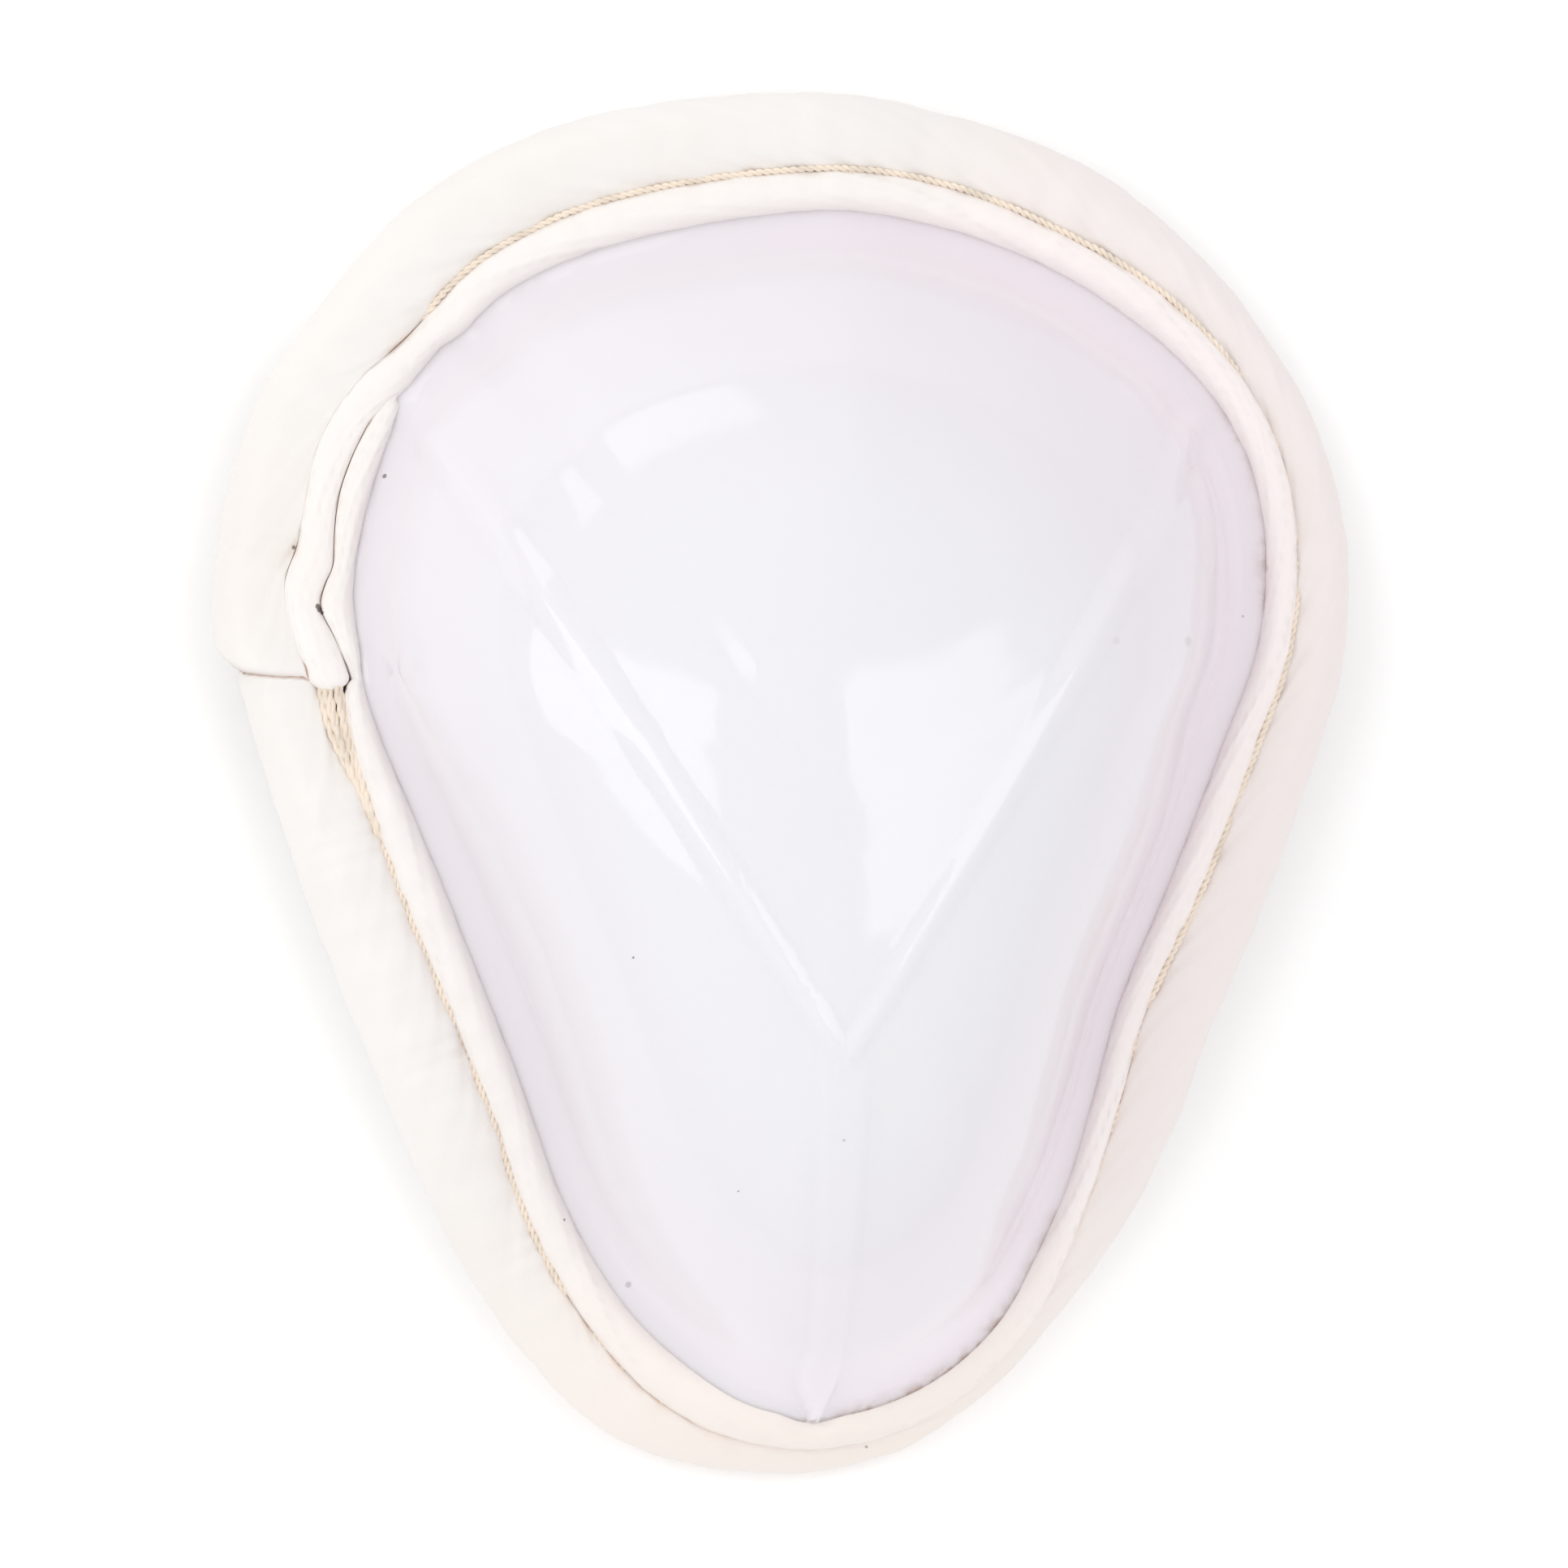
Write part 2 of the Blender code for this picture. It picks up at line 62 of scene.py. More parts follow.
# One row for each section of the rim, clockwise from the middle of the waist: place
# across and along, as shares of half the stitch line's width and length, then shares of
# the roll's and the lip's width, of the tip's slope and of the rim's arch.
SECTIONS = (
    (0.01, 0.992, 0.89, 0.98, 0.1, 0.5),
    (0.27, 0.972, 0.81, 1.00, 0.1, 0.3),
    (0.52, 0.900, 0.84, 0.90, 0.1, 0.1),
    (0.73, 0.805, 0.73, 0.95, 0.2, 0.0),
    (0.89, 0.685, 0.61, 0.86, 0.2, 0.1),
    (0.98, 0.555, 0.61, 0.80, 0.2, 0.3),
    (1.01, 0.405, 0.68, 0.78, 0.2, 0.6),
    (0.99, 0.240, 0.69, 0.75, 0.1, 0.9),
    (0.92, 0.090, 0.73, 0.78, 0.1, 1.0),
    (0.80, -0.140, 0.77, 0.77, 0.1, 1.0),
    (0.69, -0.320, 0.81, 0.66, 0.1, 0.9),
    (0.63, -0.480, 0.77, 0.66, 0.2, 0.7),
    (0.55, -0.650, 0.72, 0.64, 0.5, 0.4),
    (0.45, -0.800, 0.70, 0.90, 0.9, 0.1),
    (0.33, -0.900, 0.71, 1.00, 1.0, 0.0),
    (0.18, -0.967, 0.76, 1.00, 1.0, 0.0),
    (0.01, -0.993, 0.82, 0.96, 1.0, 0.0),
    (-0.17, -0.975, 0.87, 1.00, 0.9, 0.0),
    (-0.33, -0.912, 0.91, 0.92, 0.6, 0.0),
    (-0.46, -0.807, 0.90, 0.84, 0.4, 0.2),
    (-0.58, -0.655, 0.91, 0.90, 0.2, 0.5),
    (-0.68, -0.450, 1.00, 0.90, 0.1, 0.8),
    (-0.85, -0.140, 0.98, 0.98, 0.1, 1.0),
    (-0.94, 0.060, 0.98, 0.80, 0.1, 1.0),
    (-0.98, 0.230, 1.11, 0.64, 0.1, 0.9),
    (-0.99, 0.360, 1.12, 0.62, 0.1, 0.6),
    (-0.96, 0.490, 1.24, 0.76, 0.1, 0.3),
    (-0.89, 0.615, 1.24, 0.80, 0.1, 0.1),
    (-0.81, 0.748, 1.00, 0.96, 0.1, 0.0),
    (-0.67, 0.856, 0.98, 0.96, 0.1, 0.1),
    (-0.41, 0.945, 0.97, 1.05, 0.1, 0.3),
)

# Places along the stitch line, as shares of its length, clockwise from the waist
LAP_EDGE_AT = 0.770  # the end of the roll, lapped over its start
TUCK_END_AT = 0.782  # the start of the roll, hidden under the lap
STRIP_START_AT = 0.767  # the lip's cut end, beside the lap
STRIP_END_AT = 0.8537  # the lip's rounded tip, beside its cut end
WELD_AT = (0.797, 0.806)  # below the first, the lap and the lip's cut end are one soft fold
STRIP_JOIN_AT = (0.858, 0.862)  # where the cut end's inner edge meets the lip's own
STRIP_FADE_AT = (0.846, 0.860)  # where the filling between the cut end and the tip fades
ROLL_END = 1.0 + TUCK_END_AT
THREAD_AT = (0.872, 1.727)  # the sewn stretch of the seam

# Slant of the lap's edge: millimetres out, and how much further up the rim it lies there
LAP_SLANT = ((3.4, 0.0), (4.8, 0.0014), (7.7, 0.0025), (11.6, 0.0047), (13.0, 0.0069), (14.5, 0.0094))

# Lines beside the lap: places along the stitch line, and millimetres out from it
PARTING = (
    (0.7665, -1.3), (0.769, -1.2), (0.7746, -0.7), (0.7817, 0.1), (0.7869, 1.05), (0.7904, 1.6),
    (0.7961, 0.9), (0.8012, -0.1), (0.8103, 0.25), (0.8194, 0.65), (0.8361, 0.75), (0.8438, 0.6),
    (0.8485, -0.1), (0.8524, -1.2), (0.856, -2.4), (0.86, -2.9),
)
STRIP_TIP = ((0.8438, 0.55), (0.849, 0.3), (0.854, -0.1))
STRIP_OUTER = (
    (0.7665, 3.2), (0.77, 3.8), (0.779, 4.7), (0.788, 5.6), (0.796, 5.9), (0.8014, 5.25),
    (0.8057, 4.55), (0.8131, 4.45), (0.8216, 4.6), (0.8297, 5.1), (0.8365, 5.15), (0.8445, 4.8),
    (0.8549, 3.7), (0.8626, 1.85), (0.87, 0.5), (0.876, 0.0),
)
OPEN_JAW = ((0.729, 0.0), (0.738, 0.5), (0.7466, 1.35), (0.7575, 2.5), (0.7674, 3.0), (0.776, 3.2))
OPEN_LIP = ((0.729, -0.1), (0.741, -0.05), (0.7564, 0.2), (0.7664, 0.1), (0.769, -1.2))
LIP_INNER = (
    (0.748, -4.0), (0.7534, -3.7), (0.7658, -2.9), (0.7774, -2.95), (0.7918, -2.8), (0.8117, -3.15),
    (0.8271, -3.15), (0.8421, -2.6), (0.8528, -2.2), (0.8581, -2.65), (0.868, -3.7), (0.878, -4.6),
)
# Bare flange between the lip and the foot of the dome: places, and millimetres
FOOT_STRIP = (
    (0.0, 1.0), (0.12, 1.2), (0.15, 2.6), (0.20, 2.9), (0.245, 2.4), (0.28, 1.2), (0.45, 1.0),
    (0.60, 1.4), (0.68, 2.0), (0.75, 1.2), (0.80, 0.8), (0.87, 0.8), (1.0, 1.0),
)

# Ends of the raised arms and the place where they meet, and the cup's crown, as
# shares of the half sizes of the stitch line
LEFT_ARM_END = (-0.795, 0.565)
RIGHT_ARM_END = (0.79, 0.60)
FORK = (0.0, -0.38)
CROWN_ALONG = -0.02
CROWN_OVAL = (0.84, 0.90)
CROWN_POWER = 2.2

# The stem from the fork down to its nib: places along it, half its width as a share of
# the stem width, and its height as a share of the arms'
STEM = (
    (-0.06, 0.60, 0.0), (0.05, 0.75, 0.5), (0.3, 0.64, 0.5), (0.6, 0.53, 0.5), (0.84, 0.43, 0.6),
    (0.92, 0.55, 1.0), (0.96, 0.50, 1.5), (1.08, 0.08, 2.4),
)

# Small marks: place across and along, radius in millimetres and strength
PLASTIC_MARKS = (
    (-49.2, 37.3, 0.28, 0.8), (-19.6, -60.8, 0.4, 0.35), (46.3, 17.1, 0.62, 0.16), (36.1, 16.9, 0.5, 0.1),
    (-8.7, -48.0, 0.14, 0.7), (-21.3, -20.4, 0.14, 0.8), (3.2, -41.8, 0.2, 0.3), (55.7, 20.5, 0.2, 0.4),
)
LEATHER_MARKS = (
    (-57.3, 21.5, 0.34, 0.95), (-57.1, 21.1, 0.36, 0.95), (-56.8, 20.7, 0.24, 0.95),
    (-60.2, 28.7, 0.28, 0.85), (58.5, 26.5, 0.6, 0.4), (-27.4, -52.9, 0.18, 0.7), (10.1, -81.3, 0.2, 0.6),
    (20.8, -70.3, 0.18, 0.6), (22.4, -69.0, 0.15, 0.5), (-66.2, 13.4, 0.18, 0.5),
)
# Stretches of brown dirt between the lip and the plastic, and how strong it is
DIRT_LINES = ((0.394, 0.426, 0.5), (0.426, 0.492, 1.0), (0.189, 0.211, 0.7), (0.139, 0.196, 0.3))

# Rings and sections of the pieces
CUP_STATIONS = 640
DOME_RINGS = 100
FOOT_RINGS = 10
HOLLOW_RINGS = 18
ROLL_SECTIONS = 1420
LIP_SECTIONS = 1300
THREAD_SECTIONS = 2600
STRAND_SECTIONS = 270
STRAND_SIDES = 7

FILLET_AT = 0.955  # ring of the dome where its foot starts to round into the flange
UNDER_LIP = 0.5 * MM  # how far the dome's foot goes under the lip

# Section of the roll: points over its crest, round its side and over its back, its
# round side as a share of its width, how full its crest is, and how far its back turns in
ROLL_CREST = 12
ROLL_SIDE = 14
ROLL_BACK = 22
ROLL_ROUND = 0.53
ROLL_FULLNESS = 2 / 2.35
HEM_TURN = 1.08
SEAM_DEPTH = 0.7 * MM  # the seam's bottom stays this far below the roll's front
WELDED_HEIGHT = 4.0 * MM  # unless it is filled up to this height
WELD_FILL = 3.2 * MM  # filling where the lap and the lip's cut end are one
SOFT_FILL = 1.0 * MM  # further filling where the seam is only a soft dent
SOFT_AT = (0.803, 0.812, 0.860, 0.866)  # where that stretch starts and ends
TUCK_THINNING = 0.9 * MM  # the roll's start is this much thinner where it goes under the lap

# Section of the lip, the stretch at its ends where it is spaced closely, and its round ends
LIP_ROUND = 25
LIP_FULLNESS = 2 / 2.2
LIP_BRINK = 0.004
LIP_BLUNT = 1.5 * MM

# How deep the padding wanders and the leatherette is gathered, on the roll and on the lip
ROLL_WANDER = 0.16 * MM
ROLL_GATHER = 0.10 * MM
LIP_WANDER = 0.14 * MM
LIP_GATHER = 0.07 * MM

# Puckers of the roll beside the seam: place, half their length along it, and depth
PUCKERS = ((1.727, 0.010, 0.55), (0.8025, 0.006, 0.5), (1.66, 0.005, 0.3), (1.6, 0.006, 0.22))

# Bare strands: place across the open groove from -1 to 1, height in millimetres and phase
OPEN_STRANDS = (
    (-0.95, 0.1, 0.0), (-0.5, 0.25, 4.0), (0.0, 0.1, 1.1), (0.45, 0.3, 5.0), (0.9, 0.1, 2.3),
)
OPEN_STRANDS_AT = (1.7215, 1.7735)

# Stretches of the seam where the thread lies open: first and last place, and how far
# it stands out of the groove
THREAD_SHOWS = (
    (0.878, 1.140, 1.0), (1.157, 1.163, 0.5), (1.205, 1.262, 0.8), (1.272, 1.329, 0.8),
    (1.585, 1.655, 0.7), (1.664, 1.722, 0.6),
)


def amount(name, default, description, **kind):
    return bpy.props.FloatProperty(name=name, description=description, default=default, **kind)


def length(name, default, description):
    return amount(name, default, description, unit="LENGTH", precision=5)


def colour(name, default, description):
    return bpy.props.FloatVectorProperty(
        name=name, description=description, default=default, size=3, subtype="COLOR"
    )


class GuardSizes(bpy.types.PropertyGroup):
    """Sizes of the guard's pieces."""

    stitch_width: length("Stitch line width", 0.118, "From side to side")
    stitch_length: length("Stitch line length", 0.1562, "From its waist to its tip")
    dome_height: length("Dome height", 0.045, "Crown above the foot")
    wall: length("Wall", 0.0025, "Moulded plastic")
    flange_reach: length("Flange reach", 0.0065, "From the stitch line out")
    foot_setback: length("Foot setback", 0.0022, "Bare flange beside the lip")
    foot_rise: length("Foot rise", 0.0036, "Rounding between dome and flange")
    roll_width: length("Roll width", 0.0115, "From the stitch line out")
    roll_front: length("Roll front", 0.0062, "In front of the flange's middle")
    roll_back: length("Roll back", 0.0066, "Behind the flange's middle")
    back_hem: length("Back hem", 0.004, "Roll's back inside the stitch line")
    lip_width: length("Lip width", 0.0056, "From the stitch line in")
    lip_height: length("Lip height", 0.004, "Square to the flange")
    seam_fill: length("Seam fill", 0.0024, "Where the roll and the lip meet")
    lap_step: length("Lap step", 0.0021, "Roll's end above its start")
    lap_length: length("Lap length", 0.026, "Stretch over which that step fades")
    rim_arch: length("Rim arch", 0.006, "Sides of the rim above its tip")
    tip_dip: amount("Tip dip", radians(60), "Backward slope of the flange at the tip", subtype="ANGLE")
    rest_flatten: length("Rest flatten", 0.0008, "Padding pressed flat where it rests")
    arm_width: length("Arm width", 0.0052, "Raised arms on the cup")
    arm_height: length("Arm height", 0.0006, "Raised arms above the cup")
    stem_width: length("Stem width", 0.0056, "Raised stem on the cup")
    stem_height: length("Stem height", 0.0024, "Its lower end above the cup")
    gap: length("Gap", 0.0003, "Clearance between pieces")
    strand: length("Strand", 0.00034, "Thickness of one strand of thread")
    twist: length("Twist", 0.0021, "Length of one turn of the thread")


class GuardColours(bpy.types.PropertyGroup):
    """Colours of the guard and its stage."""

    plastic: colour("Plastic", (0.785, 0.775, 0.805), "Milky moulded plastic")
    # Painted shade: darker lavender plastic toward the dome's foot, more on the right
    plastic_foot_shade: colour("Plastic at the foot", (0.757, 0.682, 0.742), "Milky plastic near its foot")
    # Painted shade: lavender tint right beside the lip, more on the right
    plastic_lip_shade: colour("Plastic at the lip", (0.835, 0.765, 0.82), "Beside the lip")
    leather: colour("Leatherette", (0.828, 0.805, 0.782), "Cream leatherette of the roll")
    lip_leather: colour("Lip leatherette", (0.868, 0.830, 0.806), "Paler leatherette of the lip")
    # Painted shade: the lip's right side pinker and darker, away from the lights
    lip_right_shade: colour("Pinkish lip", (0.90, 0.825, 0.815), "Aged leatherette of the lip")
    # Warm tone in random patches, also painted shade along the seam's groove
    leather_warm_and_seam_shade: colour("Warm leatherette", (0.797, 0.750, 0.713), "Where it is handled or yellowed")
    thread: colour("Thread", (0.87, 0.76, 0.64), "Twisted sewing thread")
    # Painted shade at the bottom of the seams, in patches that are partly dirt
    seam: colour("Seam", (0.72, 0.52, 0.38), "Tanned bottom of the seams")
    # Painted shade: warmer leatherette toward the tip, which slopes away from the lights
    leather_tip_shade: colour("Peach leatherette", (0.85, 0.765, 0.715), "Toward the tip")
    # Painted shade: the roll's right side pinker and darker, away from the lights
    leather_right_shade: colour("Pinkish leatherette", (0.828, 0.755, 0.745), "Where it has aged")
    # Brown dirt, also painted shade in the gaps at the lap's edge and the lip's parting
    grime_and_gap_shade: colour("Grime", (0.34, 0.17, 0.10), "Brown dirt in the grooves")
    speck: colour("Speck", (0.16, 0.12, 0.11), "Small dark specks")
    floor: colour("Floor", (0.99, 0.99, 0.99), "Studio floor")


class GuardStudio(bpy.types.PropertyGroup):
    """Camera and lights."""

    lens: amount("Lens", 187.3, "Focal length", unit="CAMERA")
    distance: length("Camera distance", 1.0, "From the camera to the rim")
    tilt: amount("Camera tilt", radians(5), "Lean of the camera to the left", subtype="ANGLE")
    aim_height: length("Aim height", 0.008, "Height that the camera aims at")
    sky: amount("Sky", 0.78, "Brightness of the white room")
    soft_power: amount("Softboxes", 1.0, "Power of the softboxes")


def sizes():
    return bpy.context.scene.guard_sizes


def colours():
    return bpy.context.scene.guard_colours


def smooth_step(start, end, value):
    """0 up to start, 1 from end, and an S-shaped ramp between them."""
    part = np.clip((value - start) / (end - start), 0, 1)
    return part * part * (3 - 2 * part)


def hump(centre, half, value):
    """1 at the centre, falling smoothly to 0 at half a width on either side."""
    return smooth_step(0.0, 1.0, 1 - np.abs(value - centre) / half)


def waves(value, seed, turns):
    """Smooth wander between about -1 and 1 that repeats at each whole number."""
    total = 0.0
    for number in range(1, 6):
        phase = seed * 2.399 * number + number * number
        total = total + np.sin(2 * pi * value * (turns + 3 * number * number) + phase) / 5**0.5
    return total


class Rim:
    """The stitch line and the sizes that vary along it, read at any share of its length."""

    SAMPLES = 4960

    def __init__(self, s):
        self.s = s
        rows = np.array(SECTIONS, float)
        rows[:, 0] *= s.stitch_width / 2
        rows[:, 1] *= s.stitch_length / 2
        self.rows = rows
        steps = np.hypot(*(np.roll(rows, -1, 0) - rows)[:, :2].T)
        self.knots = np.concatenate([[0.0], np.cumsum(steps)])
        before, after = np.roll(rows, 1, 0), np.roll(rows, -1, 0)
        self.slopes = (after - before) / (steps + np.roll(steps, 1))[:, None]
        chord = np.linspace(0, self.knots[-1], self.SAMPLES + 1)
        line = self.curve(chord)[:, :2]
        run = np.concatenate([[0.0], np.cumsum(np.hypot(*np.diff(line, axis=0).T))])
        self.length = run[-1]
        self.places = np.linspace(0, 1, self.SAMPLES + 1)
        values = self.curve(np.interp(self.places * self.length, run, chord))
        beside = 8  # samples
        tangent = np.roll(values[:-1, :2], -beside, 0) - np.roll(values[:-1, :2], beside, 0)
        tangent /= np.hypot(*tangent.T)[:, None]
        tangent = np.concatenate([tangent, tangent[:1]])
        self.table = {
            "x": values[:, 0],
            "y": values[:, 1],
            "nx": -tangent[:, 1],
            "ny": tangent[:, 0],
            "roll": values[:, 2] * s.roll_width,
            "lip": values[:, 3] * s.lip_width,
            "dip": values[:, 4] * s.tip_dip,
            "lift": values[:, 5] * s.rim_arch,
            "height": np.zeros(self.SAMPLES + 1),
        }
        self.shift_x = self.shift_y = 0.0
        self.set_heights()
        self.centre()

    def curve(self, chord):
        """Cubic through the rows, at distances along their chords."""
        index = np.clip(np.searchsorted(self.knots, chord, "right") - 1, 0, len(self.rows) - 1)
        following = (index + 1) % len(self.rows)
        span = (self.knots[index + 1] - self.knots[index])[:, None]
        t = (chord - self.knots[index])[:, None] / span
        t2, t3 = t * t, t * t * t
        return (
            self.rows[index] * (2 * t3 - 3 * t2 + 1)
            + self.slopes[index] * span * (t3 - 2 * t2 + t)
            + self.rows[following] * (3 * t2 - 2 * t3)
            + self.slopes[following] * span * (t3 - t2)
        )

    def read(self, name, at):
        return np.interp(np.mod(at, 1.0), self.places, self.table[name])

    def set_heights(self):
        """Lift each section so that the roll's lowest point is at the arch of the rim."""
        at = self.places
        out, up = roll_outline(self, at, np.zeros_like(at), np.zeros_like(at))
        dip = self.read("dip", at)[:, None]
        lowest = (up * np.cos(dip) - out * np.sin(dip)).min(axis=1)
        self.table["height"] = self.read("lift", at) - self.s.rest_flatten - lowest

    def centre(self):
        """Set the outline's middle over the middle of the roll's solid."""
        at = self.places
        out, up = roll_outline(self, at, lap_swell(self, at), np.zeros_like(at))
        points = self.place(at[:, None], out, up)
        low, high = points.min(axis=(0, 1)), points.max(axis=(0, 1))
        middle = (ROLL_BOX[0] + ROLL_BOX[1]) / 2
        self.shift_x = middle.x - (low[0] + high[0]) / 2
        self.shift_y = middle.y - (low[1] + high[1]) / 2

    def place(self, at, out, up):
        """World places of points given along the rim, out along its flange and up from it."""
        at, out, up = np.broadcast_arrays(at, out, up)
        dip = self.read("dip", at)
        stitch_up = self.s.wall / 2 + self.s.lip_height / 2
        level = out * np.cos(dip) + (up - stitch_up) * np.sin(dip)
        height = self.read("height", at) + up * np.cos(dip) - out * np.sin(dip)
        x = self.read("x", at) + self.read("nx", at) * level + self.shift_x
        y = self.read("y", at) + self.read("ny", at) * level + self.shift_y
        return np.stack([x, y, height], axis=-1)


def lap_swell(rim, at):
    """How much thicker the roll is where its end laps over its start."""
    s = rim.s
    past = (np.mod(at, 1.0) - LAP_EDGE_AT) * rim.length
    fading = 1 - smooth_step(0.3 * s.lap_length, s.lap_length, past)
    return np.where(past >= 0, s.lap_step * fading, 0.0)


def along_table(table, at):
    """Value at each place of a table of places and millimetres, its corners rounded."""
    places, values = np.array(table).T
    reach = 0.0024
    return sum(np.interp(at + reach * turn, places, values) for turn in (-1, -0.5, 0, 0.5, 1)) / 5 * MM


def roll_outline(rim, at, swell, shift, fill=0.0, soft=0.0):
    """Outside of the roll's section at each place: out and up, from its jaw round to its hem.

    The front starts at the shift, in a groove that is filled to some height, and its
    flank is full, or soft where there is no seam.
    """
    s = rim.s
    girth = (rim.read("roll", at) - shift)[:, None]
    swell = swell[:, None]
    width = girth + swell
    front = s.roll_front * girth / s.roll_width + swell / 2
    behind = s.roll_back * girth / s.roll_width + swell / 2
    jaw = shift[:, None]
    radius = width * ROLL_ROUND
    centre = jaw + width - radius
    floor = s.wall / 2 + s.gap + np.broadcast_to(fill, at.shape)[:, None]
    floor = np.minimum(floor, front - SEAM_DEPTH * (floor < WELDED_HEIGHT))
    t = np.linspace(pi / 2, 0, ROLL_CREST, endpoint=False)
    outs = [centre - (centre - jaw) * np.sin(t) ** ROLL_FULLNESS]
    soft = np.broadcast_to(soft, at.shape)[:, None]
    flank = np.cos(t) ** ROLL_FULLNESS * (1 - soft) + (1 - np.sin(t) ** (2 * ROLL_FULLNESS)) * soft
    ups = [floor + (front - floor) * flank]
    t = np.linspace(pi / 2, 0, ROLL_SIDE, endpoint=False)
    outs.append(centre + radius * np.cos(t))
    ups.append(front * np.sin(t))
    t = np.linspace(0, pi / 2 + HEM_TURN, ROLL_BACK)
    blend = smooth_step(pi / 2 - 0.5, pi / 2 + 0.5, t)
    reach = radius * (1 - blend) + (centre + s.back_hem) / sin(HEM_TURN) * blend
    outs.append(centre + reach * np.cos(t))
    ups.append(-behind * np.sin(t))
    return np.concatenate(outs, axis=1), np.concatenate(ups, axis=1)


def add_thing(name, data):
    thing = bpy.data.objects.new(name, data)
    bpy.context.scene.collection.objects.link(thing)
    return thing


def add_mesh(name, points, faces, marks=None):
    """Smooth-shaded object with named point values."""
    mesh = bpy.data.meshes.new(name)
    mesh.vertices.add(len(points))
    mesh.vertices.foreach_set("co", np.asarray(points, np.float32).ravel())
    corners = np.array([corner for face in faces for corner in face], np.int32)
    ends = np.cumsum([len(face) for face in faces])
    mesh.loops.add(len(corners))
    mesh.loops.foreach_set("vertex_index", corners)
    mesh.polygons.add(len(faces))
    mesh.polygons.foreach_set("loop_start", np.append(0, ends[:-1]).astype(np.int32))
    mesh.update(calc_edges=True)
    mesh.validate()
    mesh.shade_smooth()
    for mark, values in (marks or {}).items():
        layer = mesh.attributes.new(mark, "FLOAT", "POINT")
        layer.data.foreach_set("value", np.asarray(values, np.float32).ravel())
    return add_thing(name, mesh)


def skin(name, rings, marks=None):
    """Object skinned over rows of points, each row a closed ring, with a fan over each end."""
    rows, size = rings.shape[:2]
    points = rings.reshape(-1, 3)
    values = {mark: np.asarray(v).reshape(-1) for mark, v in (marks or {}).items()}
    first = (np.arange(rows - 1) * size)[:, None]
    index = np.arange(size)
    following = (index + 1) % size
    corners = [first + index, first + following, first + size + following, first + size + index]
    faces = [tuple(quad) for quad in np.stack(corners, axis=-1).reshape(-1, 4)]
    for start, turn in ((0, -1), ((rows - 1) * size, 1)):
        hub = len(points)
        points = np.concatenate([points, points[start : start + size].mean(axis=0)[None]])
        values = {mark: np.append(v, v[start : start + size].mean()) for mark, v in values.items()}
        ring = start + np.arange(size)[::turn]
        faces += [(ring[i], ring[(i + 1) % size], hub) for i in range(size)]
    return add_mesh(name, points, faces, values)


class Wire:
    """A number socket of a material. Arithmetic on it adds Math nodes."""

    def __init__(self, finish, socket):
        self.finish = finish
        self.socket = socket

    def math(self, operation, *others):
        return self.finish.node("ShaderNodeMath", {"operation": operation}, self, *others)

    def __add__(self, other):
        return self.math("ADD", other)

    def __sub__(self, other):
        return self.math("SUBTRACT", other)

    def __mul__(self, other):
        return self.math("MULTIPLY", other)

    __radd__ = __add__
    __rmul__ = __mul__

    def __rsub__(self, other):
        return self.finish.node("ShaderNodeMath", {"operation": "SUBTRACT"}, other, self)

    def clamp(self):
        return self.finish.node("ShaderNodeClamp", {}, self)

    def step(self, low, high):
        """0 below low, 1 above high, smooth between them; reversed where low is the greater."""
        ends = (low, high, 0.0, 1.0) if low < high else (high, low, 1.0, 0.0)
        return self.finish.node("ShaderNodeMapRange", {"interpolation_type": "SMOOTHSTEP"}, self, *ends)


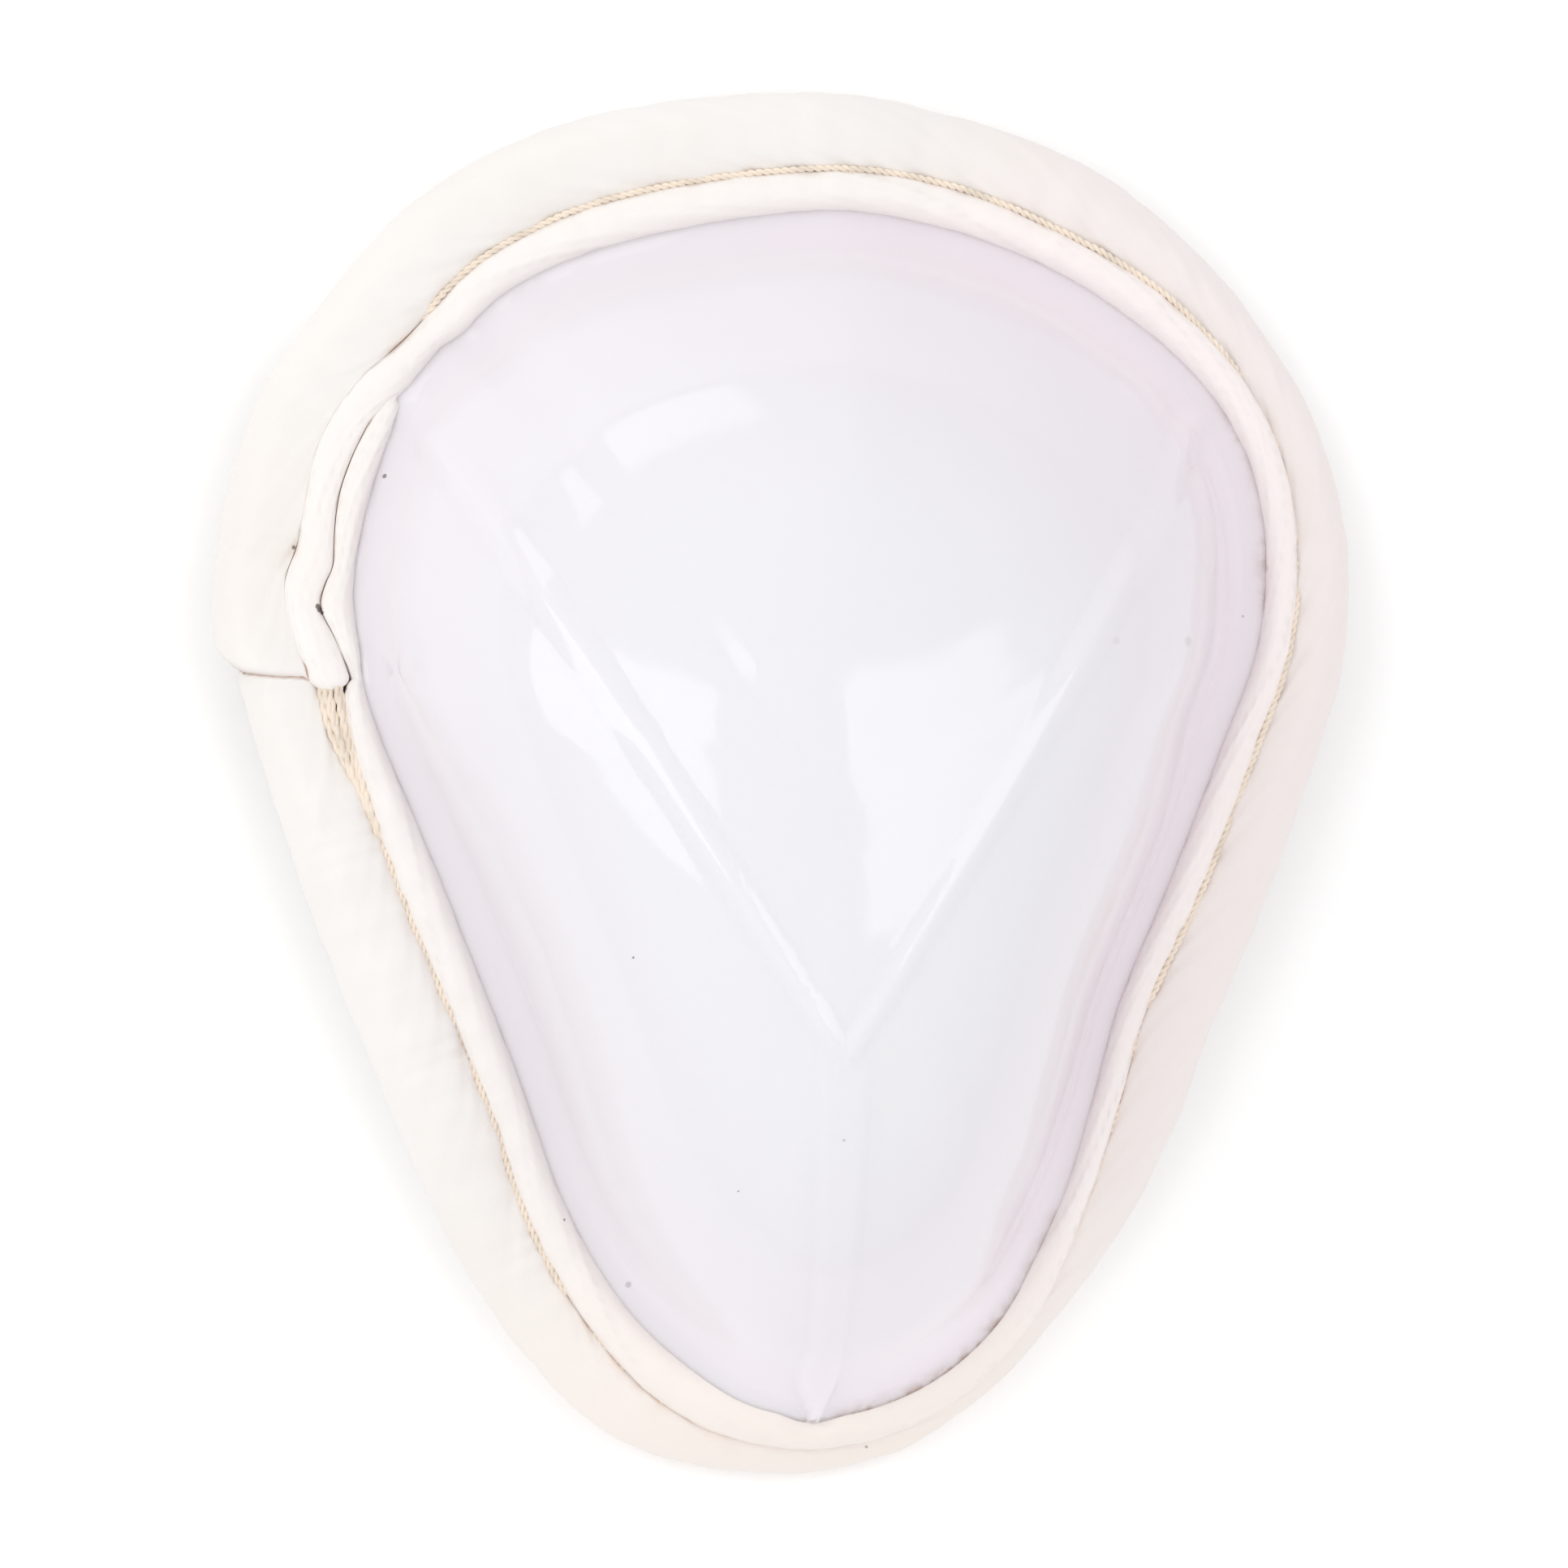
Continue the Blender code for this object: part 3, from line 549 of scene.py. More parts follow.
class Finish:
    """A material on one Principled shader, and the nodes that feed it."""

    def __init__(self, name, **constants):
        self.material = bpy.data.materials.new(name)
        self.material.use_nodes = True
        self.tree = self.material.node_tree
        self.shader = self.tree.nodes["Principled BSDF"]
        self.position = self.node("ShaderNodeNewGeometry", {}, output="Position")
        self.give(**constants)

    def node(self, kind, settings, *values, output=0, **named):
        """Add a node with its settings, then feed its sockets, and give back an output."""
        node = self.tree.nodes.new(kind)
        for setting, value in settings.items():
            setattr(node, setting, value)
        for socket, value in enumerate(values):
            self.feed(node.inputs[socket], value)
        for socket, value in named.items():
            self.feed(node.inputs[socket.replace("_", " ")], value)
        return Wire(self, node.outputs[output])

    def feed(self, socket, value):
        if isinstance(value, Wire):
            self.tree.links.new(value.socket, socket)
        elif value is not None:
            socket.default_value = value

    def across(self, axis="X"):
        """Place across the guard, or along another axis."""
        return self.node("ShaderNodeSeparateXYZ", {}, self.position, output=axis)

    def mark(self, name):
        return self.node("ShaderNodeAttribute", {"attribute_name": name}, output="Fac")

    def noise(self, scale, detail, output=0):
        sockets = {"Vector": self.position, "Scale": scale, "Detail": detail}
        return self.node("ShaderNodeTexNoise", {}, output=output, **sockets)

    def mix(self, part, first, second):
        """Colour between two colours."""
        pair = [tone if isinstance(tone, Wire) else (*tone, 1.0) for tone in (first, second)]
        unused = [None] * 5  # sockets of the node's other kinds
        return self.node("ShaderNodeMix", {"data_type": "RGBA"}, part, *unused, *pair, output=2)

    def soiled(self, tone, patches, marks):
        """A colour with patches of brown dirt and small uneven marks."""
        dirt = self.mark("dirt") * (0.35 + patches * 0.65)
        tone = self.mix(dirt.clamp() * 0.85, tone, colours().grime_and_gap_shade)
        flat = {"operation": "MULTIPLY"}
        place = self.node("ShaderNodeVectorMath", flat, self.position, (1.0, 1.0, 0.0))
        noise = self.noise(700.0, 1.0, output=1)
        ragged = self.node("ShaderNodeVectorMath", {"operation": "SCALE"}, noise, Scale=0.3 * MM)
        place = self.node("ShaderNodeVectorMath", {"operation": "ADD"}, place, ragged)
        mean = 0.15  # the middle of what the noise adds
        for x, y, radius, strength in marks:
            spot = ((x + mean) * MM, (y + mean) * MM, mean * MM)
            distance = {"operation": "DISTANCE"}
            away = self.node("ShaderNodeVectorMath", distance, place, spot, output="Value")
            edge = away.step(radius * 1.25 * MM, radius * 0.6 * MM)
            tone = self.mix(edge * strength, tone, colours().speck)
        return tone

    def bump(self, height, distance, strength, under=None):
        sockets = {"Strength": strength, "Distance": distance, "Height": height, "Normal": under}
        return self.node("ShaderNodeBump", {}, **sockets)

    def give(self, **inputs):
        for socket, value in inputs.items():
            self.feed(self.shader.inputs[socket.replace("_", " ")], value)
        return self.material


def wander(points, at, loose, seed, turns, depth):
    """Push the padding gently in and out, as far as it is loose."""
    size = points.shape[1]
    centre = points.mean(axis=1, keepdims=True)
    outward = points - centre
    outward /= np.linalg.norm(outward, axis=2, keepdims=True)
    around = np.arange(size) / size
    level = waves(at[:, None], seed, turns) * (0.6 + 0.4 * np.sin(2 * pi * around + seed))
    level = level + 0.5 * waves(at[:, None] + 0.13 * around, seed + 3, turns * 3)
    return points + outward * (level * depth * loose)[..., None]


def lip_inner(rim, at):
    """Inner edge of the lip, out from the stitch line."""
    at = np.mod(at, 1.0)
    near = smooth_step(0.735, 0.752, at) * (1 - smooth_step(0.872, 0.885, at))
    broad = 2.5 * MM * hump(0.5, 0.13, at)
    return (-rim.read("lip", at) - broad) * (1 - near) + along_table(LIP_INNER, at) * near


def nib_room(rim, at):
    """How far the lip gives way to the nib of the stem."""
    near_tip = np.abs(np.mod(at, 1.0) - 0.5) * rim.length / rim.s.stem_width
    return 0.6 * rim.s.stem_height * (1 - smooth_step(0.1, 0.9, near_tip))


def stretches(table, at):
    """Strength at each place of a table of stretches, each faded in and out at its ends."""
    fade = 0.004
    total = 0.0
    for first, last, strength in table:
        start = smooth_step(first - fade, first + fade, at)
        total = np.maximum(total, strength * start * (1 - smooth_step(last - fade, last + fade, at)))
    return total


def dirt_along(at):
    """How much dirt there is between the lip and the plastic."""
    return stretches(DIRT_LINES, np.mod(at, 1.0))


class Cup:
    """Front and back of the moulded dome over the foot of its flange."""

    def __init__(self, rim, at):
        s = rim.s
        self.rim = rim
        self.s = s
        self.at = at
        self.lip = -lip_inner(rim, at)
        self.strip = along_table(FOOT_STRIP, at)
        self.middle = np.array([0.0, CROWN_ALONG * s.stitch_length / 2])
        self.middle += (rim.shift_x, rim.shift_y)
        self.plain_foot = rim.place(at, -rim.read("lip", at) - s.foot_setback, s.wall / 2)
        self.outer_foot = self.foot(0.0, s.wall / 2)
        self.inner_foot = self.foot(s.wall, -s.wall / 2)
        self.outer_base = self.outer_foot[:, 2].mean()
        self.inner_base = self.inner_foot[:, 2].mean()
        self.crown = self.outer_base + s.dome_height

    def foot(self, inset, up):
        return self.rim.place(self.at, -self.lip - self.strip - inset, up)

    def ring(self, feet, base, rise, inset, ring):
        """One ring of the dome, between its middle and its feet."""
        s = self.s
        apart = feet[:, :2] - self.middle
        half_width = CROWN_OVAL[0] * s.stitch_width / 2 - inset
        half_length = CROWN_OVAL[1] * s.stitch_length / 2 - inset
        oval = half_width * half_length / np.hypot(half_length * apart[:, 0], half_width * apart[:, 1])
        reach = ring * (oval + (1 - oval) * smooth_step(0.0, 1.0, ring))
        level = base + (feet[:, 2] - base) * ring * ring
        height = level + rise * (1 - ring**CROWN_POWER) ** (0.5 + 0.25 * smooth_step(0.7, 1.0, ring))
        return np.column_stack([self.middle + apart * reach[:, None], height])


def along_line(x, y, start, end):
    """Share of the way along a line, and the distance to its left, for points in plan."""
    run = np.hypot(end[0] - start[0], end[1] - start[1])
    ux, uy = (end[0] - start[0]) / run, (end[1] - start[1]) / run
    part = ((x - start[0]) * ux + (y - start[1]) * uy) / run
    side = -(x - start[0]) * uy + (y - start[1]) * ux
    return part, side


def roof(side, half):
    """A low ridge with a soft crest, rounded into the surface on both flanks."""
    part = np.clip(np.abs(side) / half, 0, 1)
    slope = 1 - np.sqrt(part * part + 0.012) + 0.11 * part * part
    return np.clip(slope, 0, 1) * (1 - part**6)


def raised_lines(rim, x, y):
    """Height of the arms, the stem and its nib over the dome, for points in plan."""
    s = rim.s
    x = x - rim.shift_x
    y = y - rim.shift_y
    half_w, half_l = s.stitch_width / 2, s.stitch_length / 2
    left, right, fork = ((a * half_w, b * half_l) for a, b in (LEFT_ARM_END, RIGHT_ARM_END, FORK))
    tip = (0.0, -half_l + s.lip_width * 1.1)
    height = np.zeros_like(x)
    for start in (left, right):
        part, side = along_line(x, y, start, fork)
        half = s.arm_width / 2 * (1 - 0.35 * smooth_step(0.3, 1.0, part))
        run = np.hypot(start[0] - fork[0], start[1] - fork[1])
        end = np.clip(-part * run / half, 0, 1)
        ridge = roof(np.hypot(side, end * half), half) * smooth_step(1.10, 0.96, part)
        height = np.maximum(height, s.arm_height * ridge)
    part, side = along_line(x, y, fork, tip)
    places, halves, rises = np.array(STEM).T
    half = np.interp(part, places, halves * s.stem_width)
    rise = np.interp(part, places, rises * s.arm_height)
    wedge = np.clip(1 - np.abs(side) / np.maximum(half, 1e-6), 0, 1)
    within = (part > STEM[0][0]) * (part < STEM[-1][0])
    return np.maximum(height, rise * smooth_step(0.0, 0.55, wedge) * within)


def build_cup():
    """Moulded dome, foot and flange with the raised arms and stem on its front."""
    s = sizes()
    rim = Rim(s)
    at = np.arange(CUP_STATIONS) / CUP_STATIONS
    cup = Cup(rim, at)
    shares = FILLET_AT * np.sin(np.linspace(0, 1, DOME_RINGS + 1)[1:] * pi / 2) ** 0.9
    rings = []
    for share in shares:
        own = smooth_step(0.72, FILLET_AT, share)
        feet = cup.plain_foot * (1 - own) + cup.outer_foot * own
        rings.append(cup.ring(feet, cup.outer_base, s.dome_height, 0.0, share))
    points = np.array(rings)
    plain = points.copy()
    lift = raised_lines(rim, points[..., 0], points[..., 1])
    across = np.roll(points, -1, 1) - np.roll(points, 1, 1)
    along = np.gradient(points, axis=0)
    normal = np.cross(across, along)
    normal /= np.linalg.norm(normal, axis=2, keepdims=True)
    normal *= np.sign(normal[..., 2:3])
    points = points + normal * lift[..., None]
    rings = list(points)
    reach = s.flange_reach * rim.read("roll", at) / s.roll_width
    half = s.wall / 2
    before, start = plain[-2:]
    beneath = UNDER_LIP * (1 + 2.4 * hump(STRIP_END_AT, 0.009, at))
    end = rim.place(at, -cup.lip + nib_room(rim, at) + beneath, half + 0.75 * s.foot_rise)
    foot = rim.place(at, -cup.lip - 0.75 * cup.strip, half + s.foot_rise)
    slope = start - before
    run = np.clip((foot[:, 2] - start[:, 2]) / slope[:, 2], 0.0, None)
    run = np.minimum(run, np.hypot(*(end - start)[:, :2].T) / np.hypot(*slope[:, :2].T) * 0.8)
    foot = start + slope * run[:, None]
    for turn in np.linspace(0, 1, FOOT_RINGS + 1)[1:]:
        ring = start * (1 - turn) ** 2 + foot * 2 * turn * (1 - turn) + end * turn * turn
        lift = raised_lines(rim, ring[:, 0], ring[:, 1])
        rings.append(ring + normal[-1] * (1 - turn) * lift[:, None] + np.outer(lift * turn, (0, 0, 1)))
    rings.append(rim.place(at, -cup.lip + 3 * UNDER_LIP, half))
    rings.append(rim.place(at, 0.0, half))
    rings.append(rim.place(at, reach, half))
    rings.append(rim.place(at, reach, -half))
    rings.append(rim.place(at, -s.back_hem, -half))
    inner_shares = np.sin(np.linspace(0, 1, HOLLOW_RINGS + 1)[1:] * pi / 2)[::-1]
    inner_rise = cup.crown - s.wall - cup.inner_base
    for share in inner_shares:
        rings.append(cup.ring(cup.inner_foot, cup.inner_base, inner_rise, s.wall, share))
    points = np.array(rings)
    foot_ends = DOME_RINGS + FOOT_RINGS
    near_foot, at_edge = np.zeros((2, len(rings)))
    near_foot[:DOME_RINGS] = smooth_step(0.45, 1.0, shares)
    near_foot[DOME_RINGS:foot_ends] = 1.0
    at_edge[DOME_RINGS:foot_ends] = np.linspace(0, 1, FOOT_RINGS) ** 8
    # The foot mark places the plastic's painted shade near its foot
    marks = {
        "foot": near_foot[:, None] * np.ones(CUP_STATIONS),
        "dirt": at_edge[:, None] * dirt_along(at),
    }
    thing = skin("cup", points, marks)
    front, back = thing.data.vertices[-2:]
    front.co = (*cup.middle, cup.crown)
    back.co = (*cup.middle, cup.crown - s.wall)
    return thing


def roll_shift(at):
    """The roll's jaw outside the stitch line, for places from its lapped end round to its start."""
    return np.where(at < 1.0, along_table(STRIP_OUTER, at), along_table(OPEN_JAW, at - 1.0))


def lap_end_swell(rim, at):
    """Thickness of the lapped end over the start of the roll, rounded over at its edge."""
    s = rim.s
    past = (at - LAP_EDGE_AT) * rim.length
    round_over = np.clip(past / (0.45 * s.lap_step), 0, 1)
    swell = lap_swell(rim, at) * (0.08 + 0.92 * np.sqrt(1 - (1 - round_over) ** 2))
    tuck = smooth_step(1.0 + LAP_EDGE_AT, ROLL_END, at)
    return np.where(at < 1.3, swell, -TUCK_THINNING * tuck)


def lap_slant(out):
    """How much further up the rim the lap's edge lies, this far out."""
    reach, places = np.array(LAP_SLANT).T
    return np.interp(out / MM, reach, places)


def seam_beside_lap(s, at):
    """How soft the seam's flanks are, how far it is filled and how dark it is."""
    weld = (at < 1.0) * (1 - smooth_step(*WELD_AT, at))
    dent = smooth_step(*SOFT_AT[:2], at) * (1 - smooth_step(*SOFT_AT[2:], at))
    fill = s.seam_fill + (WELD_FILL - s.seam_fill) * weld + SOFT_FILL * dent
    shade = 1 - 0.75 * np.maximum(weld, dent)
    return np.maximum(weld, 0.75 * dent), fill, shade


def roll_rows():
    """Places of the roll's sections, close together at the lap."""
    edge = LAP_EDGE_AT + np.linspace(0, 1, 24) ** 1.6 * 0.008
    rest = np.linspace(edge[-1], ROLL_END, ROLL_SECTIONS)[1:]
    return np.concatenate([edge, rest])


def build_roll():
    """Padded roll all round the rim, its end lapped over its start."""
    s = sizes()
    rim = Rim(s)
    at = roll_rows()
    swell = lap_end_swell(rim, at)
    soft, fill, shade = seam_beside_lap(s, at)
    out, up = roll_outline(rim, at, swell, roll_shift(at), fill, soft)
    slot = s.wall / 2 + s.gap
    reach = s.flange_reach * rim.read("roll", at) / s.roll_width + s.gap
    jaw = out[:, 0]
    low = np.full_like(jaw, -slot)
    out = np.column_stack([out, out[:, -1], reach, reach, jaw])
    up = np.column_stack([up, low, low, -low, -low])
    size = out.shape[1]
    skinned = size - 4
    slant = lap_slant(out) * (smooth_step(LAP_EDGE_AT + 0.05, LAP_EDGE_AT, at) * (at < 1.3))[:, None]
    places = at[:, None] + slant
    points = rim.place(places, out, up)
    loose = np.ones(size)
    loose[skinned:] = 0.0
    loose[:3] = (0.0, 0.3, 0.7)
    loose[skinned - 3 : skinned] = (0.7, 0.3, 0.0)
    points = wander(points, at, loose, 1.7, 9, ROLL_WANDER)
    # Small gathers of the leatherette run out from the seam
    around = np.arange(size) / skinned
    near_seam = np.exp(-around * 7.0) * loose + 0.25 * np.exp(-((around - 0.55) * 6) ** 2) * loose
    gather = waves(at, 5.0, 67) * ROLL_GATHER * (0.4 + 0.6 * smooth_step(-0.5, 1.0, waves(at, 8.0, 11)))
    pucker = 0.0
    for centre, half, depth in PUCKERS:
        pucker = pucker + depth * MM * hump(centre, half, at)
        folds = np.sin((at - centre) * rim.length / MM * 2.6)
        gather = gather + 0.28 * MM * folds * hump(centre, half * 1.8, at)
    points[..., 2] += (gather[:, None] - pucker[:, None]) * near_seam
    points[..., 2] = np.maximum(points[..., 2], 0.0)
    # Groove mark: painted shade along the seam, fainter where the seam is filled
    groove = np.zeros(size)
    groove[:skinned] = np.exp(-np.arange(skinned) / 2.2)
    groove[skinned:] = 1.0
    # Brink mark: painted shade along the lap's edge and under the lap on the roll's start
    brink = np.exp(-np.clip(at - LAP_EDGE_AT, 0, None) * rim.length / (0.2 * MM))[:, None]
    hidden = (at[:, None] - 1.0 - LAP_EDGE_AT - lap_slant(out)) * rim.length
    brink = np.maximum(brink, smooth_step(-0.25 * MM, 0.1 * MM, hidden))
    return skin("padded_roll_cover", points, {"groove": groove * shade[:, None], "brink": brink})


def lip_edges(rim, at):
    """Inner and outer edge of the lip from its cut end round to its tip, out from the stitch line."""
    plain = lip_inner(rim, at) + nib_room(rim, at)
    beside = 0.03 * MM
    aside = smooth_step(*STRIP_JOIN_AT, at)
    inner = np.where(at < 1.0, (along_table(PARTING, at) + beside) * (1 - aside) + plain * aside, plain)
    outer = np.where(at < 1.0, along_table(STRIP_OUTER, at), 0.0)
    past = at - 1.0
    starts = (OPEN_LIP[0][0], OPEN_LIP[-1][0], STRIP_TIP[0][0])
    for start, table in zip(starts, (OPEN_LIP, PARTING, STRIP_TIP)):
        outer = np.where(past > start, along_table(table, past), outer)
    return inner, outer


def build_lip():
    """Rolled lip inside the seam, its two ends side by side at the lap."""
    s = sizes()
    rim = Rim(s)
    start, end = STRIP_START_AT, 1.0 + STRIP_END_AT
    brink = np.linspace(0, 1, 14) ** 1.5 * LIP_BRINK
    between = np.linspace(start + LIP_BRINK, end - LIP_BRINK, LIP_SECTIONS)[1:-1]
    at = np.concatenate([start + brink, between, end - brink[::-1]])
    inner, outer = (edge[:, None] for edge in lip_edges(rim, at))
    base = s.wall / 2 + s.gap
    middle, half = (inner + outer) / 2, (outer - inner) / 2
    ends = np.minimum(at - at[0], at[-1] - at) * rim.length
    blunt = 0.12 + 0.88 * np.sqrt(1 - (1 - np.clip(ends / LIP_BLUNT, 0, 1)) ** 2)[:, None]
    turn = np.linspace(pi, 0, LIP_ROUND)
    cosine, sine = np.cos(turn), np.sin(turn)
    out = middle + half * blunt * np.sign(cosine) * np.abs(cosine) ** LIP_FULLNESS
    height = s.lip_height * (0.55 + 0.45 * np.clip(half / (0.5 * s.lip_width * 0.7), 0, 1))
    up = base + height * blunt**0.6 * np.abs(sine) ** LIP_FULLNESS
    soft, fill, shade = (values[:, None] for values in seam_beside_lap(s, at))
    fill = fill * (cosine > 0)
    beside_strip = 3.0 * MM * (1 - smooth_step(*STRIP_FADE_AT, at))[:, None] * (cosine < 0)
    beside_strip = beside_strip + MM * ((at > 1.0 + STRIP_START_AT)[:, None] & (cosine > 0))
    fill = np.minimum(fill + beside_strip, 0.85 * height)
    soft_flank = soft * (cosine > 0)
    flank = (up - base) / height * (1 - soft_flank) + (1 - cosine**2) * soft_flank
    flank = flank * (0.4 + 0.6 * blunt)
    up = base + fill + (height - fill) * flank
    points = rim.place(at[:, None], out, up)
    size = points.shape[1]
    loose = np.sin(np.linspace(0, pi, size)) ** 0.5
    points = wander(points, at, loose, 4.1, 13, LIP_WANDER)
    gather = waves(at, 2.0, 71) * LIP_GATHER
    outer_side = np.linspace(0, 1, size) ** 3 * loose
    points[..., 2] += gather[:, None] * outer_side
    near = np.linspace(0, 1, size)
    parted = ((at < STRIP_JOIN_AT[0]) | (at > 1.0 + STRIP_START_AT))[:, None]
    beside = np.where((at < 1.0)[:, None], near, 1 - near)
    marks = {
        "dirt": dirt_along(at)[:, None] * np.exp(-near * size / 1.6),
        # Groove mark: painted shade along the seam side of the lip
        "groove": np.exp(-(1 - near) * size / 2.4) * shade,
        # Brink mark: painted shade along the edges where the lip's two ends part
        "brink": parted * smooth_step(0.06, 0.02, beside),
    }
    return skin("inner_lip_cover", points, marks)


def seam_up(rim, at):
    """Height of the groove's bottom, where the thread beds, above the flange's middle."""
    s = rim.s
    front = s.roll_front * (rim.read("roll", at) - roll_shift(at)) / s.roll_width
    return np.minimum(s.wall / 2 + s.gap + s.seam_fill, front - 0.5 * MM)


def twisted(rim, name, at, out, up, spread, strand, turns):
    """Two twisted plies along a line on the rim."""
    around = np.linspace(0, 2 * pi, STRAND_SIDES, endpoint=False)
    pieces = []
    for ply in range(2):
        phase = pi * ply + 2 * pi * turns
        outs = (out + spread * np.cos(phase))[:, None] + strand * np.cos(around)
        ups = (up + spread * np.sin(phase))[:, None] + strand * np.sin(around)
        pieces.append(skin("%s_%d" % (name, ply), rim.place(at[:, None], outs, ups)))
    return pieces


def build_thread():
    """Twisted sewing thread in the groove between the lip and the roll."""
    s = sizes()
    rim = Rim(s)
    at = np.linspace(*THREAD_AT, THREAD_SECTIONS)
    show = stretches(THREAD_SHOWS, at)
    up = seam_up(rim, at) + (-0.12 + 1.05 * show) * MM
    up = up + 0.12 * MM * waves(at, 6.0, 41)
    turns = at * rim.length / s.twist
    return twisted(rim, "seam_thread", at, 0.0, up, s.strand * 0.52, s.strand * 0.80, turns)


def build_open_strands():
    """Loose strands that lie in the open groove below the lap."""
    s = sizes()
    rim = Rim(s)
    pieces = []
    for number, (aside, high, phase) in enumerate(OPEN_STRANDS):
        at = np.linspace(*OPEN_STRANDS_AT, STRAND_SECTIONS)
        room = roll_shift(at)
        part = (at - at[0]) / (at[-1] - at[0])
        out = room * (0.5 + 0.42 * aside) + 0.15 * MM * aside + 0.12 * MM * np.sin(part * 9 + phase)
        up = seam_up(rim, at) + (0.5 + high) * MM + 0.15 * MM * np.sin(part * 7 + 2 * phase)
        up = up - 0.9 * MM * (1 - smooth_step(0.0, 0.1, part))
        turns = at * rim.length / (s.twist * 1.6) + phase
        pieces += twisted(rim, "open_strand_%d" % number, at, out, up, s.strand * 0.45, s.strand, turns)
    return pieces


def plastic_finish():
    c = colours()
    glow = {"Subsurface_Weight": 0.35, "Subsurface_Scale": 0.004, "Subsurface_Radius": (1.0, 0.9, 1.0)}
    look = Finish("milky_plastic", IOR=1.47, **glow)
    cloud = look.noise(22.0, 2.0)
    tone = look.mix(cloud, c.plastic, tuple(v * 0.975 for v in c.plastic))
    # Painted shade, stronger toward the guard's right, away from the lights
    right = look.across().step(-0.02, 0.045)
    foot = look.mark("foot")
    # Painted shade of the plastic toward its foot
    tone = look.mix(foot * (0.35 + right * 0.4), tone, c.plastic_foot_shade)
    # Painted shade: lavender tint right beside the lip
    tone = look.mix(foot.step(0.9, 1.0) * (0.3 + right * 0.6), tone, c.plastic_lip_shade)
    tone = look.soiled(tone, look.noise(500.0, 3.0).step(0.38, 0.62), PLASTIC_MARKS)
    haze = look.noise(180.0, 2.0).step(0.35, 0.75)
    ripple = look.noise(38.0, 1.0)
    fine = look.noise(1400.0, 2.0)
    normal = look.bump(ripple, 0.0004, 0.12)
    normal = look.bump(fine, 0.00002, 0.25, normal)
    return look.give(Base_Color=tone, Roughness=0.065 + haze * 0.05, Normal=normal)


def leatherette_finish(name, plain, right_shade_tone, warm):
    c = colours()
    look = Finish(name, IOR=1.45, Specular_IOR_Level=0.4)
    groove = look.mark("groove")
    brink = look.mark("brink")
    cloud = look.noise(26.0, 3.0).step(0.3, 0.75)
    tone = look.mix(cloud * warm, plain, c.leather_warm_and_seam_shade)
    # Painted shade: the right side pinker and darker, away from the lights
    shade_on_right = (look.across() + look.noise(30.0, 2.0) * 0.02).step(0.0, 0.075)
    tone = look.mix(shade_on_right * 0.85, tone, right_shade_tone)
    # Painted shade: warmer toward the tip, which slopes away from the lights
    tone = look.mix(look.across("Y").step(-0.045, -0.085) * 0.8, tone, c.leather_tip_shade)
    patchy = look.noise(460.0, 3.0)
    # Painted shade along the seam's groove: a warm tone, and tan patches that are partly dirt
    seam_shade_and_soil = (groove * patchy.step(0.36, 0.7)).clamp()
    tone = look.mix(groove * 0.55, tone, c.leather_warm_and_seam_shade)
    tone = look.mix(seam_shade_and_soil * 0.8, tone, c.seam)
    # Painted shade along the lap's edge and the lip's parting
    tone = look.mix((brink * 0.75).clamp(), tone, c.grime_and_gap_shade)
    tone = look.soiled(tone, patchy.step(0.36, 0.6), LEATHER_MARKS)
    grain = look.node("ShaderNodeTexVoronoi", {}, Vector=look.position, Scale=1500.0, Randomness=0.9)
    pores = look.noise(2600.0, 2.0)
    normal = look.bump(patchy, 0.00012, 0.35)
    normal = look.bump(grain, 0.00005, 0.3, normal)
    normal = look.bump(pores, 0.00002, 0.3, normal)
    gloss = 0.36 + look.noise(60.0, 2.0) * 0.16
    return look.give(Base_Color=tone, Roughness=gloss, Normal=normal)


def thread_finish():
    c = colours()
    look = Finish("sewing_thread", Roughness=0.75)
    fibre = look.noise(2400.0, 2.0)
    tone = look.mix(look.noise(300.0, 3.0).step(0.4, 0.75), c.thread, tuple(v * 0.85 for v in c.thread))
    return look.give(Base_Color=tone, Normal=look.bump(fibre, 0.0001, 0.6))


def floor_finish():
    c = colours()
    look = Finish("studio_floor", Roughness=0.9, Specular_IOR_Level=0.0)
    tone = look.mix(look.noise(3.0, 1.0), c.floor, tuple(v * 0.998 for v in c.floor))
    return look.give(Base_Color=tone)


def fit(thing, finish):
    """Give a piece its finish, and let it ride on the guard's body."""
    thing.data.materials.append(finish)
    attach(thing, BODY)


class GUARD_OT_cup(bpy.types.Operator):
    """Build the moulded cup."""

    bl_idname = "guard.cup"
    bl_label = "Cup"

    def execute(self, context):
        cup = build_cup()
        fit(cup, plastic_finish())
        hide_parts("shell")
        return {"FINISHED"}


class GUARD_OT_roll(bpy.types.Operator):
    """Build the padded roll."""

    bl_idname = "guard.roll"
    bl_label = "Padded roll"

    def execute(self, context):
        roll = build_roll()
        c = colours()
        finish = leatherette_finish("roll_leatherette", c.leather, c.leather_right_shade, 0.8)
        fit(roll, finish)
        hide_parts("padded_roll")
        return {"FINISHED"}


class GUARD_OT_lip(bpy.types.Operator):
    """Build the rolled lip."""

    bl_idname = "guard.lip"
    bl_label = "Inner lip"

    def execute(self, context):
        lip = build_lip()
        c = colours()
        finish = leatherette_finish("lip_leatherette", c.lip_leather, c.lip_right_shade, 0.3)
        fit(lip, finish)
        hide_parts("inner_lip")
        return {"FINISHED"}


class GUARD_OT_thread(bpy.types.Operator):
    """Lay the sewing thread in the seam."""

    bl_idname = "guard.thread"
    bl_label = "Sewing thread"

    def execute(self, context):
        finish = thread_finish()
        for thing in build_thread() + build_open_strands():
            thing.data.materials.append(finish)
            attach(thing, BODY)
        return {"FINISHED"}


